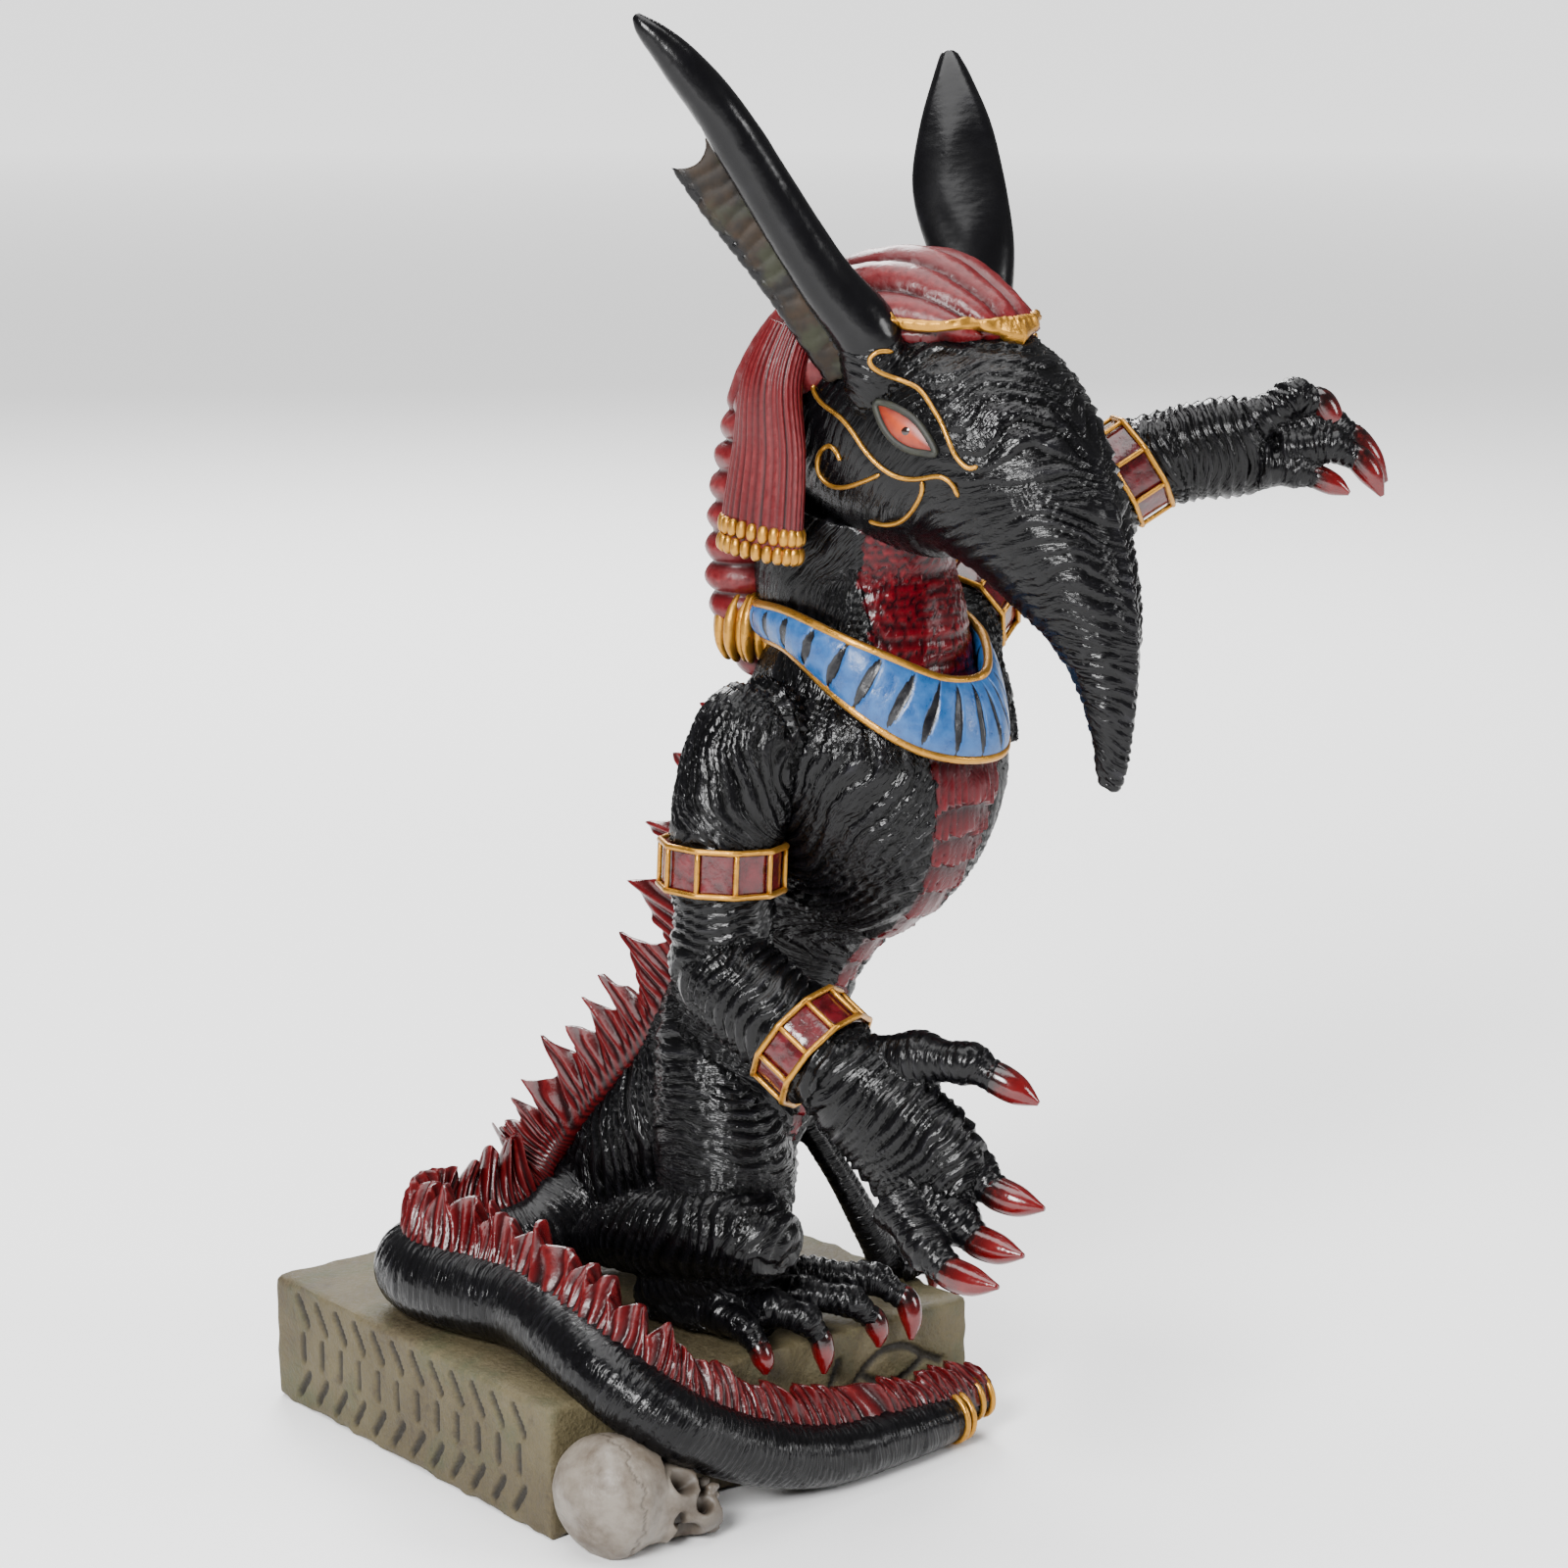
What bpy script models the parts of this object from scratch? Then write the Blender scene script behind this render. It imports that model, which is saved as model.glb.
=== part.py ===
"""Seth statue: a crouching long-snouted god on a stone block, cast in painted resin.

Two pieces: the figure, cast as one with its tail, crest, collar and arm bands, and the plinth, with a
skull moulded onto its front face. The row frame has its origin at the middle of the plinth's underside,
+Z up, the plinth's sides along X and Y, and the plinth's front towards -Y.
"""

import math

import bpy
import bmesh
from mathutils import Matrix, Vector

# Plinth, in metres.
PLINTH_WIDTH = 0.0726
PLINTH_DEPTH = 0.0698
PLINTH_HEIGHT = 0.0185
PLINTH_EDGE_WEAR = 0.0008
STROKE_WIDTH = 0.0008
STROKE_DEPTH = 0.0006

# Skull, lying on its side against the front face near the figure's right-hand corner.
SKULL_RADIUS = 0.0082
SKULL_FROM_CORNER = 0.006
SKULL_OUT = 0.0066
SKULL_TRIANGLES = 900

# Strokes on the right-hand face, and the eye motif on the front face.
SIDE_STROKES = 12
SIDE_ROW_SLANTS = (0.25, 0, -0.25)
EYE_MIDDLE = 0.0225
EYE_LEVEL = 0.62
EYE_HALF_WIDTH = 0.0058
EYE_RISE = 0.0026
SKULL_FACET = 0.0003

# Figure. It stands a set share of its height in from the front and the left face, so that its toes and
# tail still hang over them at any size. Its forms are written in its own frame, in shares of its height:
# one unit is a millimetre of a figure that stands 181.5 mm over the plinth, x its left, y its back, z up
# from the plinth's top face.
FIGURE_HEIGHT = 0.1815
UNITS_HIGH = 181.5
FIGURE_TURN = math.radians(8)
UNITS_FROM_FRONT = 34.9
UNITS_FROM_LEFT_FACE = 30.3
SEAT_GAP = 0.0003

# How finely the figure's skin is made.
SKIN_VOXEL = 0.0008
SKIN_TRIANGLES = 7600

UNIT = FIGURE_HEIGHT / UNITS_HIGH
PLINTH_UNITS = 18.5
LATERAL = (1, 0, 0)
SAGITTAL = (0, 1, 0)
IMAGE_ACROSS = (0.694, -0.72, 0)
TOWARDS_FRONT = Vector((0, -1, 0))
TOWARDS_LEFT = Vector((1, 0, 0))
UPWARDS = Vector((0, 0, 1))

# Stations of each form: x, y, z, half width along the form's side direction, half thickness.
TRUNK = [
    (0, 9, 5, 8, 7), (0, 7, 9, 11, 10), (0, 0.5, 17, 10.6, 13),
    (0, -12.6, 29, 10, 14), (0, -20.5, 43, 10.3, 13.6),
    (0, -25, 56, 9.8, 14), (0, -31, 68, 12.8, 17), (0, -39, 78, 17.6, 20), (0, -41.5, 87, 18.6, 19.5),
    (0, -42, 94, 14.5, 15.5), (0, -42, 101, 12.6, 13.6), (0, -39.5, 108, 12.6, 14), (0, -41, 117, 12, 14),
]
HEAD = [
    (0, -30, 134, 5, 6), (0, -35, 132, 11, 12), (0, -45, 128.8, 14.5, 16.5), (0, -55, 127.5, 15.5, 16.5),
    (0, -63, 125.4, 14, 15.3), (0, -69.6, 120.4, 11.4, 12.8),
    (0, -75.4, 113.6, 9, 10), (0, -80.4, 106, 6, 6.8),
    (0, -82.8, 98.6, 3.8, 4.2), (0, -83.6, 92.1, 2.4, 2.7),
    (0, -83.6, 87.5, 1.7, 1.8), (0, -83.4, 85, 1, 1),
]
HEADDRESS = [
    (0, -66, 136.5, 5, 3), (0, -62, 138.5, 9, 7.5), (0, -54, 138.4, 13, 12.2), (0, -43, 136.5, 14.5, 12.5),
    (0, -33.5, 130.5, 12.4, 10.6), (0, -28, 122, 11.5, 8),
    (0, -26, 114, 11.5, 6.8), (0, -25.6, 105, 11.5, 6.6),
    (0, -26.8, 98, 10, 5.6), (0, -29, 93.5, 7, 4), (0, -31, 91, 4, 2.5),
]
RIGHT_LAPPET = [
    (-14.5, -42, 141, 3.4, 2.6), (-16.7, -40.5, 134, 4.6, 2.8), (-17, -40.2, 125, 6, 2.6),
    (-17.5, -39.6, 117, 6.8, 2.6), (-17.6, -39.3, 113.2, 6.8, 2.6),
]
RIGHT_EAR_RIDGE = [
    (-11.2, -54.6, 134.5, 3.4, 3.4), (-13.2, -53.8, 141, 4.2, 4.2),
    (-17.2, -50, 148, 3.6, 3.6), (-21.5, -45.2, 158, 3.4, 3.4),
    (-24.4, -42.7, 164.2, 3.3, 3.3), (-27.3, -40.8, 169.4, 3, 3), (-29.5, -38.4, 173.4, 2.7, 2.7),
    (-31.3, -36.7, 176.2, 2.2, 2.2), (-33.3, -34.9, 178.8, 1.4, 1.4), (-34.3, -34, 180.4, 0.5, 0.5),
]
RIGHT_EAR_FLAP = [
    (-12.6, -49.4, 135.6, 2.6, 2.2), (-16, -47.4, 142.5, 3.4, 1.6),
    (-18, -44.5, 148.4, 4, 1.3), (-22.4, -38.8, 158.6, 4.7, 1.1),
    (-24.6, -35.7, 164.5, 4.9, 1),
]
# The notch torn out of the right ear: its middle, its way through the ear, and its radius.
EAR_NOTCH = ((-26.3, -33.9, 164.3), (-0.6, -0.58, 0.07), 3.2)
LEFT_EAR = [
    (10.5, -51.5, 143, 4.6, 3.6), (12, -49, 150, 5.7, 3),
    (14, -45, 157.5, 6.2, 2.5), (16.8, -41.8, 165, 4.9, 2.2),
    (19.5, -38.7, 171.2, 2.7, 1.7), (21.2, -36.6, 174.6, 1.2, 1),
]
RIGHT_ARM = [
    (-13, -40, 84, 7, 7), (-17.6, -39, 87.5, 8.4, 8.2),
    (-21.2, -38.2, 81, 7.8, 7.8), (-23.4, -38.1, 72, 7.2, 7.2),
    (-23.6, -38.5, 64, 6.5, 6.6), (-24.2, -38.2, 58.6, 6.6, 6.8),
    (-24.4, -43, 55.4, 6.8, 7), (-22.5, -52, 49.8, 7, 6.8),
    (-21, -57, 46.5, 7.2, 6.4),
]
RIGHT_PALM = [
    (-21.6, -54.4, 48.6, 6.4, 6), (-20, -60.4, 43.6, 7.6, 5.4), (-18.8, -66.9, 38.8, 8.4, 4.8),
    (-18.4, -71.8, 34.8, 8.3, 4.6), (-19.2, -75.3, 31.6, 7, 4),
    (-19.6, -77, 30, 4, 2.2),
]
LEFT_ARM = [
    (14.8, -44.8, 82, 8.4, 8.4), (14.8, -43.4, 88, 8.6, 8.6), (17, -40.6, 94.6, 7.7, 7.7),
    (23.4, -38.1, 99.8, 6.5, 6.5),
    (30, -36.9, 103.4, 6.1, 6.1), (37, -37.6, 104.8, 6.4, 6.4), (43.6, -38.8, 106.4, 6.7, 6.7),
    (49, -40.2, 111.4, 6.5, 6.5), (54, -43, 116.4, 6.6, 6.4), (58, -46.5, 118.2, 6.8, 6),
]
LEFT_PALM = [
    (54, -43, 116.4, 6.4, 6), (60, -47.8, 118.6, 6.9, 5.6),
    (66, -53.2, 119.6, 7, 5.2), (70.2, -57.4, 120.8, 6.2, 4.6),
    (72, -59.2, 121, 3.4, 2.4),
]
RIGHT_THIGH = [
    (-5, -12.5, 46, 3, 3.5), (-6, -15, 40, 5, 6), (-6.5, -18.5, 32, 7.4, 9), (-6.5, -21, 25, 8.8, 10.3),
    (-7, -22.5, 19, 9, 10.2), (-8.5, -25, 14, 7, 8), (-9, -27, 10, 3.5, 4),
]
RIGHT_CALF = [
    (-8, 6, 6.6, 3.2, 3), (-11.5, -3, 9.6, 4.6, 4.2), (-13.2, -13, 13, 6.6, 6), (-12.6, -23, 15, 7, 6.8),
    (-11, -30.5, 15.7, 6.8, 6.7), (-9.8, -34.8, 14.8, 5, 5.4), (-9.5, -36.8, 14.2, 2.2, 2.6),
]
RIGHT_SHIN = [
    (-10.2, -31.5, 13.5, 4, 4), (-12, -24, 9, 4, 4), (-12, -16, 5.4, 4.4, 4), (-11, -13, 3.6, 4, 3.4),
]
RIGHT_FOOT = [
    (-11.5, -11, 3.2, 3.6, 3), (-10.5, -18, 3.8, 5.4, 3.8),
    (-8.6, -26, 3.8, 6.6, 3.4), (-7.4, -31, 3, 6, 2.8),
]
LEFT_THIGH = [
    (5, -1.5, 46, 3, 3.5), (6, -4, 40, 5, 6), (6.5, -7.5, 32, 7.4, 9), (7, -8.5, 25, 8.6, 10),
    (8.4, -8.8, 19, 8.4, 9.6), (9.6, -9.6, 14, 7, 8), (10, -10.6, 9.6, 4, 5),
]
LEFT_KNEE = [
    (8.4, -8.6, 20, 6.4, 6.4), (10.2, -12.4, 25.4, 4.6, 4.6), (11.4, -15.6, 28.2, 2.8, 2.8),
]
LEFT_SHIN = [
    (11.2, -15.6, 28.6, 2.1, 2.1), (14.4, -19.4, 21.5, 1.9, 1.9), (17.8, -22.4, 13.7, 2.1, 2.1),
    (21.1, -24.4, 6.2, 2.4, 2.4), (22.9, -25.2, 2, 2.7, 2.5),
]
TAIL = [
    (0, 5, 12, 10, 10), (-8, 8.5, 9.4, 8, 7.8), (-15, 9, 7.2, 6.8, 6.8), (-21, 11.5, 6.5, 6.4, 6.4),
    (-27, 15, 6.4, 6.3, 6.3), (-32, 14.2, 6.4, 6.3, 6.3),
    (-34.4, 8.6, 6.3, 6.2, 6.2), (-33.8, 0, 6.1, 6.1, 6.1),
    (-33.2, -9, 6, 5.8, 5.8), (-36.2, -20.4, 5.4, 5.5, 5.5),
    (-37.9, -30.6, 3, 5.3, 5.3), (-35.6, -38.4, -1.4, 5, 5),
    (-29, -40, -5.6, 4.8, 4.8), (-20.2, -41.3, -9.9, 4.6, 4.6),
    (-8.4, -42.4, -13.3, 4.4, 4.4), (3, -43.2, -14, 4, 4),
    (11.6, -43.6, -14.3, 3.6, 3.6), (18, -43.8, -14.3, 3, 3),
]
TAIL_PRONG = [
    (8, -42.6, -13.6, 3.3, 3.3), (16, -42, -13.4, 3.1, 3.1), (24, -42.6, -12.9, 2.9, 2.9),
]
CREST_BASE = [
    (0, -20, 88), (0, -17.5, 79), (0, -14.5, 70), (-0.5, -12.5, 61),
    (-1.5, -9.5, 50), (-3, -5, 41), (-5, 1, 33),
    (-7, 7, 25.5), (-9, 10.5, 20), (-12, 11.5, 16), (-16, 11, 13.4), (-21.5, 12.6, 12.2),
    (-27, 15.4, 11.8), (-32, 14.2, 11.6), (-34.4, 8.6, 11.4),
    (-33.2, 0, 10.8), (-32.4, -9, 10.4), (-35, -20, 9.4),
    (-36.2, -30, 6.8), (-33.6, -36.8, 2.6), (-27.6, -38.4, -2), (-19.4, -39.6, -6.4), (-8, -40.6, -10),
    (3, -41.4, -11), (11, -41.8, -11.4), (18, -42.2, -11.2), (23.4, -42.4, -11),
]
CREST_HEIGHTS = [
    6, 11, 13, 13.5, 14, 12.4, 11, 10.4, 10, 9, 8.2, 7.5, 7, 7.2,
    7.4, 7.2, 7, 6.6, 6.2, 6, 5.6, 5.4, 5, 4.8, 4.4, 3.8, 2.4,
]
COLLAR = [
    (0, -62.4, 89.6), (-8, -60.2, 91.2), (-13.8, -52.4, 95.8), (-14, -41.5, 99.4), (-9, -31.5, 99),
    (0, -29, 99.4), (9, -31.5, 99), (13, -42, 98.6), (12, -52, 95), (6.5, -59.5, 91.2),
]
# Digits: the stations of the finger or toe, then the claw's tip.
RIGHT_HAND_DIGITS = [
    (
        [(-19, -58, 47.5, 4.4), (-17, -67, 49.6, 4), (-15, -74, 49.8, 3.5), (-14, -77.6, 48.4, 2.9)],
        (-12, -82.8, 45.7),
    ),
    ([(-17.5, -69, 38.4, 4), (-15.8, -75.6, 36, 3.7), (-15.6, -79, 34, 3)], (-14.4, -86, 33.1)),
    ([(-19.6, -71, 33.4, 4), (-20, -77, 30.4, 3.6), (-20, -80, 28.8, 2.9)], (-20, -87.4, 28.6)),
    ([(-23, -69, 32, 4), (-24.8, -75.6, 28, 3.6), (-25, -79.6, 25.8, 2.9)], (-25, -87.6, 25.8)),
]
LEFT_HAND_DIGITS = [
    ([(66, -55, 123, 3.8), (69.8, -58.8, 126.4, 3.5), (72.2, -61.6, 125.8, 2.8)], (73.4, -63.6, 120.4)),
    ([(69, -57, 121, 3.8), (73.4, -62, 122.6, 3.3), (75.8, -65, 120.6, 2.7)], (78.4, -68.8, 114.6)),
    ([(68, -58.6, 119, 3.6), (71.6, -63.8, 120, 3.1), (74, -67, 118.2, 2.6)], (75.6, -70.2, 113)),
    ([(65, -57, 117, 3.6), (68.4, -61, 116.4, 3), (70, -63, 115.6, 2.4)], (72.2, -67, 113.4)),
]
RIGHT_FOOT_DIGITS = [
    (
        [(-12.5, -21, 3.6, 3.4), (-13.4, -28, 4.4, 3.1), (-14, -32.6, 4, 2.8), (-13.6, -35, 1.4, 2.2)],
        (-13.9, -36.4, -1.9),
    ),
    (
        [(-8.5, -25, 4, 3.4), (-7.3, -31.5, 4.8, 3.1), (-5.5, -36, 3.8, 2.8), (-3.6, -37, 0.8, 2.2)],
        (-4, -38, -4),
    ),
    (
        [(-4, -23.5, 4.4, 3.4), (-0.6, -31, 5, 3.1), (3, -36.4, 4.4, 2.9), (5.8, -38.2, 1.6, 2.3)],
        (5.8, -39.2, -2.4),
    ),
    (
        [(-3, -21, 4.2, 3.4), (4.6, -26.6, 5.4, 3.2), (10.6, -34, 5.2, 3), (12.8, -38, 2.6, 2.4)],
        (12, -39.7, -2.8),
    ),
]
LEFT_FOOT_DIGITS = [
    ([(23.6, -26.4, 2.4, 2.6), (26.4, -23.4, 3, 2.2), (29, -22.2, 1.4, 1.8)], (29.8, -22, -3.4)),
    ([(24.4, -26.8, 2.4, 2.6), (27.6, -26.8, 3, 2.2), (30, -27, 1.4, 1.8)], (30.6, -27, -3.4)),
    ([(23.6, -27.4, 2.4, 2.6), (26.6, -30, 3, 2.2), (29.4, -31.4, 1.2, 1.8)], (30.2, -31.8, -3.4)),
]
# The skull's own forms, lying with the face along +X: one unit is a millimetre at an 8.2 mm cranium.
SKULL_UNITS = 8.2
CRANIUM = [
    (-8, 0, 0, 1.5, 1.5), (-7, 0, 0.2, 4.6, 4.6), (-3.4, 0, 0.4, 8, 8),
    (0.6, -0.2, 0.2, 8.2, 8.1), (4.4, -0.8, -0.2, 6.2, 6.8),
]
CHEEKS = [(2, -1.6, -0.8, 6, 6), (6.4, -2.4, -1.4, 4.8, 5.2), (9.6, -3, -1.8, 3.8, 4.4)]
JAW = [(4, -3.6, -3.6, 3.4, 2.6), (9.4, -4, -3.6, 3.6, 2.6), (12.6, -4.2, -3.2, 3, 2.6)]
# Arm bands: middle, axis, outer radius, half width.
BANDS = [
    ((-23.5, -38, 71.4), (0.06, 0, 1), 8.3, 2.9),
    ((-21.9, -52.6, 49.3), (0.14, -0.82, -0.56), 7.9, 2.7),
    ((23.6, -38, 99.9), (0.86, 0.24, 0.45), 7.4, 2.7),
    ((53.3, -42.3, 116.1), (0.7, -0.49, 0.53), 7.6, 2.6),
]


def material(name, colour, roughness, metallic=0.0):
    made = bpy.data.materials.new(name)
    made.use_nodes = True
    shader = made.node_tree.nodes["Principled BSDF"]
    shader.inputs["Base Color"].default_value = (*colour, 1)
    shader.inputs["Roughness"].default_value = roughness
    shader.inputs["Metallic"].default_value = metallic
    return made


def mesh_object(name, bm, made_of):
    """A bmesh as a new object in the scene, with its material."""
    bmesh.ops.recalc_face_normals(bm, faces=bm.faces)
    mesh = bpy.data.meshes.new(name)
    bm.to_mesh(mesh)
    bm.free()
    obj = bpy.data.objects.new(name, mesh)
    bpy.context.scene.collection.objects.link(obj)
    obj.data.materials.append(made_of)
    return obj


def catmull(a, b, c, d, t):
    """A point between b and c on the smooth curve through a, b, c and d, for numbers of any kind."""
    return [
        0.5 * (2 * q + (r - p) * t + (2 * p - 5 * q + 4 * r - s) * t * t + (3 * q - p - 3 * r + s) * t ** 3)
        for p, q, r, s in zip(a, b, c, d)
    ]


def smooth(stations, steps, closed=False):
    """Stations of any width, with steps samples a span on a smooth curve through them."""
    count = len(stations)
    samples = []
    spans = count if closed else count - 1
    for i in range(spans):
        around = [i - 1, i, i + 1, i + 2]
        if closed:
            pick = [stations[k % count] for k in around]
        else:
            pick = [stations[min(max(k, 0), count - 1)] for k in around]
        samples += [catmull(*pick, step / steps) for step in range(steps)]
    if not closed:
        samples.append(list(stations[-1]))
    return samples


def sweep(bm, stations, side=LATERAL, sides=16, steps=3, closed=False):
    """A closed skin round a smooth path: an ellipse at each station, its width along side."""
    samples = smooth(stations, steps, closed)
    count = len(samples)
    rings = []
    for i, sample in enumerate(samples):
        before = samples[i - 1] if closed or i else sample
        after = samples[(i + 1) % count] if closed or i < count - 1 else sample
        along = (Vector(after[:3]) - Vector(before[:3])).normalized()
        across = (Vector(side) - along * along.dot(Vector(side))).normalized()
        up = along.cross(across)
        ring = []
        for k in range(sides):
            turn = 2 * math.pi * k / sides
            offset = across * math.cos(turn) * sample[3] + up * math.sin(turn) * sample[4]
            ring.append(bm.verts.new(Vector(sample[:3]) + offset))
        rings.append(ring)
    pairs = zip(rings, rings[1:] + rings[:1]) if closed else zip(rings, rings[1:])
    for lower, upper in pairs:
        for k in range(sides):
            bm.faces.new((lower[k], lower[(k + 1) % sides], upper[(k + 1) % sides], upper[k]))
    if not closed:
        bm.faces.new(list(reversed(rings[0])))
        bm.faces.new(rings[-1])


def round_stations(stations):
    """Stations with one radius each, as sweep wants them."""
    return [(*s[:3], s[3], s[3]) for s in stations]


def digit(bm, stations, claw_tip, side):
    """A finger or toe, and the claw that grows out of its end."""
    sweep(bm, round_stations(stations), side, sides=10)
    root = Vector(stations[-1][:3])
    inside = Vector(stations[-2][:3]).lerp(root, 0.55)
    tip = Vector(claw_tip)
    bulge = root.lerp(tip, 0.45) + (root - inside).normalized() * 0.5
    width = stations[-1][3]
    claw = [(*inside, width * 0.7), (*root, width * 0.92), (*bulge, width * 0.74), (*tip, 0.45)]
    sweep(bm, round_stations(claw), side, sides=8)


def ring_band(bm, middle, axis, radius, half_width):
    """An arm band: a short drum round the arm, with a raised rim at each edge."""
    along = Vector(axis).normalized()
    rim = 0.6
    floor = radius - rim
    profile = [(-1, radius), (-0.72, radius), (-0.7, floor), (0.7, floor), (0.72, radius), (1, radius)]
    stations = []
    for share, size in profile:
        stations.append((*(Vector(middle) + along * half_width * share), size, size))
    sweep(bm, stations, (0.3, 0.9, 0.2), sides=18, steps=1)


def crest(bm):
    """The fin along the spine and the tail: large spikes on the back, then a fine ruffle."""
    steps = 8
    base = smooth([(*point, height) for point, height in zip(CREST_BASE, CREST_HEIGHTS)], steps)
    half_root = 1.5
    sections = []
    for i, sample in enumerate(base):
        along = (Vector(base[min(i + 1, len(base) - 1)][:3]) - Vector(base[max(i - 1, 0)][:3])).normalized()
        foot = Vector(sample[:3])
        on_back = min(1, max(0, (foot.z - 14) / 8))
        outward = (Vector((0, 1, 0.25)) * on_back + Vector((0.25, 0.1, 1)) * (1 - on_back)).normalized()
        outward = (outward - along * along.dot(outward)).normalized()
        sideways = along.cross(outward)
        period = 8 if i < 5 * steps else 4
        tooth = abs((i % period) / period - 0.5) * 2
        depth = 0.62 if i < 5 * steps else 0.3
        height = sample[3] * (1 - depth * tooth)
        lean = along * (0.08 * on_back * height)
        sections.append(
            [
                bm.verts.new(foot - outward * 3 + sideways * half_root),
                bm.verts.new(foot + outward * height + lean + sideways * 0.5),
                bm.verts.new(foot + outward * height + lean - sideways * 0.5),
                bm.verts.new(foot - outward * 3 - sideways * half_root),
            ]
        )
    for lower, upper in zip(sections, sections[1:]):
        for k in range(4):
            bm.faces.new((lower[k], lower[(k + 1) % 4], upper[(k + 1) % 4], upper[k]))
    bm.faces.new(list(reversed(sections[0])))
    bm.faces.new(sections[-1])


def figure_frame():
    """From the figure's own units to the row frame: turned on the plinth, its toes over the front edge."""
    stand = Vector(
        (
            PLINTH_WIDTH / 2 - UNITS_FROM_LEFT_FACE * UNIT,
            UNITS_FROM_FRONT * UNIT - PLINTH_DEPTH / 2,
            PLINTH_HEIGHT,
        )
    )
    return Matrix.Translation(stand) @ Matrix.Rotation(FIGURE_TURN, 4, "Z") @ Matrix.Scale(UNIT, 4)


def figure_forms():
    """Every form of the figure as its own closed skin, in one bmesh, in the row frame."""
    bm = bmesh.new()
    sweep(bm, TRUNK, sides=24)
    sweep(bm, HEAD, sides=24)
    sweep(bm, HEADDRESS, sides=20)
    sweep(bm, RIGHT_LAPPET, SAGITTAL, sides=12)
    sweep(bm, [(-x, *rest) for x, *rest in RIGHT_LAPPET], SAGITTAL, sides=12)
    sweep(bm, RIGHT_EAR_RIDGE, IMAGE_ACROSS, sides=12)
    sweep(bm, RIGHT_EAR_FLAP, IMAGE_ACROSS, sides=12)
    sweep(bm, LEFT_EAR, IMAGE_ACROSS, sides=12)
    sweep(bm, RIGHT_ARM)
    sweep(bm, RIGHT_PALM, (0.2, -0.6, 0.77))
    sweep(bm, LEFT_ARM, (0, 0, 1))
    sweep(bm, LEFT_PALM, (0, 0, 1))
    sweep(bm, RIGHT_THIGH, sides=20)
    sweep(bm, RIGHT_CALF)
    sweep(bm, RIGHT_SHIN)
    sweep(bm, RIGHT_FOOT)
    sweep(bm, LEFT_THIGH, sides=20)
    sweep(bm, LEFT_KNEE, sides=12)
    sweep(bm, LEFT_SHIN, sides=10)
    sweep(bm, TAIL, (0, 0, 1))
    sweep(bm, TAIL_PRONG, (0, 0, 1), sides=10)
    sweep(bm, [(*point, 4.6, 1.4) for point in COLLAR], (0, 0.3, 1), sides=10, closed=True)
    for stations, tip in RIGHT_HAND_DIGITS + LEFT_HAND_DIGITS:
        digit(bm, stations, tip, (0.7, 0.2, 0.7))
    for stations, tip in RIGHT_FOOT_DIGITS + LEFT_FOOT_DIGITS:
        digit(bm, stations, tip, (0.9, 0.4, 0))
    for band in BANDS:
        ring_band(bm, *band)
    crest(bm)
    hang = PLINTH_HEIGHT / (PLINTH_UNITS * UNIT)
    for vert in bm.verts:
        if vert.co.z < 0:
            vert.co.z *= hang
    bm.transform(figure_frame())
    return bm


def evaluated_copy(obj):
    """The object's mesh as its modifiers leave it, put in place of its own."""
    depsgraph = bpy.context.evaluated_depsgraph_get()
    mesh = bpy.data.meshes.new_from_object(obj.evaluated_get(depsgraph))
    obj.modifiers.clear()
    obj.data = mesh


def block(name, low, high, made_of):
    bm = bmesh.new()
    bmesh.ops.create_cube(bm, size=1)
    size = Vector(high) - Vector(low)
    middle = (Vector(high) + Vector(low)) / 2
    bm.transform(Matrix.Translation(middle) @ Matrix.Diagonal((*size, 1)))
    return mesh_object(name, bm, made_of)


def ear_notch(made_of):
    """A round cutter that stands through the right ear where its edge is torn."""
    middle, way, radius = EAR_NOTCH
    bm = bmesh.new()
    along = Vector(way).normalized() * radius * 2
    stations = [(*(Vector(middle) + along * share), radius, radius) for share in (-1, 1)]
    sweep(bm, stations, UPWARDS, sides=20, steps=1)
    bm.transform(figure_frame())
    return mesh_object("ear_notch", bm, made_of)


def cutter_of(obj):
    obj.hide_render = True
    obj.display_type = "WIRE"
    return obj


def cut(obj, cutter, operation="DIFFERENCE"):
    modifier = obj.modifiers.new(operation.title(), "BOOLEAN")
    modifier.operation = operation
    modifier.object = cutter
    modifier.solver = "EXACT"


def make_figure(made_of):
    """All the forms melted into one skin, thinned, and cut back where the plinth is."""
    figure = mesh_object("figure", figure_forms(), made_of)
    remesh = figure.modifiers.new("Skin", "REMESH")
    remesh.mode = "VOXEL"
    remesh.voxel_size = SKIN_VOXEL
    soften = figure.modifiers.new("Soften", "SMOOTH")
    soften.factor = 0.5
    soften.iterations = 2
    evaluated_copy(figure)
    triangles = sum(len(face.vertices) - 2 for face in figure.data.polygons)
    thin = figure.modifiers.new("Thin", "DECIMATE")
    thin.ratio = SKIN_TRIANGLES / triangles
    thin.use_collapse_triangulate = True
    evaluated_copy(figure)
    cut(figure, cutter_of(ear_notch(made_of)))
    cut(figure, cutter_of(grown_plinth(made_of)))
    cut(figure, cutter_of(make_skull("skull_clearance", made_of, SEAT_GAP + SKULL_FACET)))
    evaluated_copy(figure)
    return figure


def grown_plinth(made_of):
    """The plinth's block, larger all round by the gap that the figure keeps to it, and deeper below."""
    gap = SEAT_GAP
    return block(
        "plinth_clearance",
        (-PLINTH_WIDTH / 2 - gap, -PLINTH_DEPTH / 2 - gap, -PLINTH_HEIGHT),
        (PLINTH_WIDTH / 2 + gap, PLINTH_DEPTH / 2 + gap, PLINTH_HEIGHT + gap),
        made_of,
    )


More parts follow.
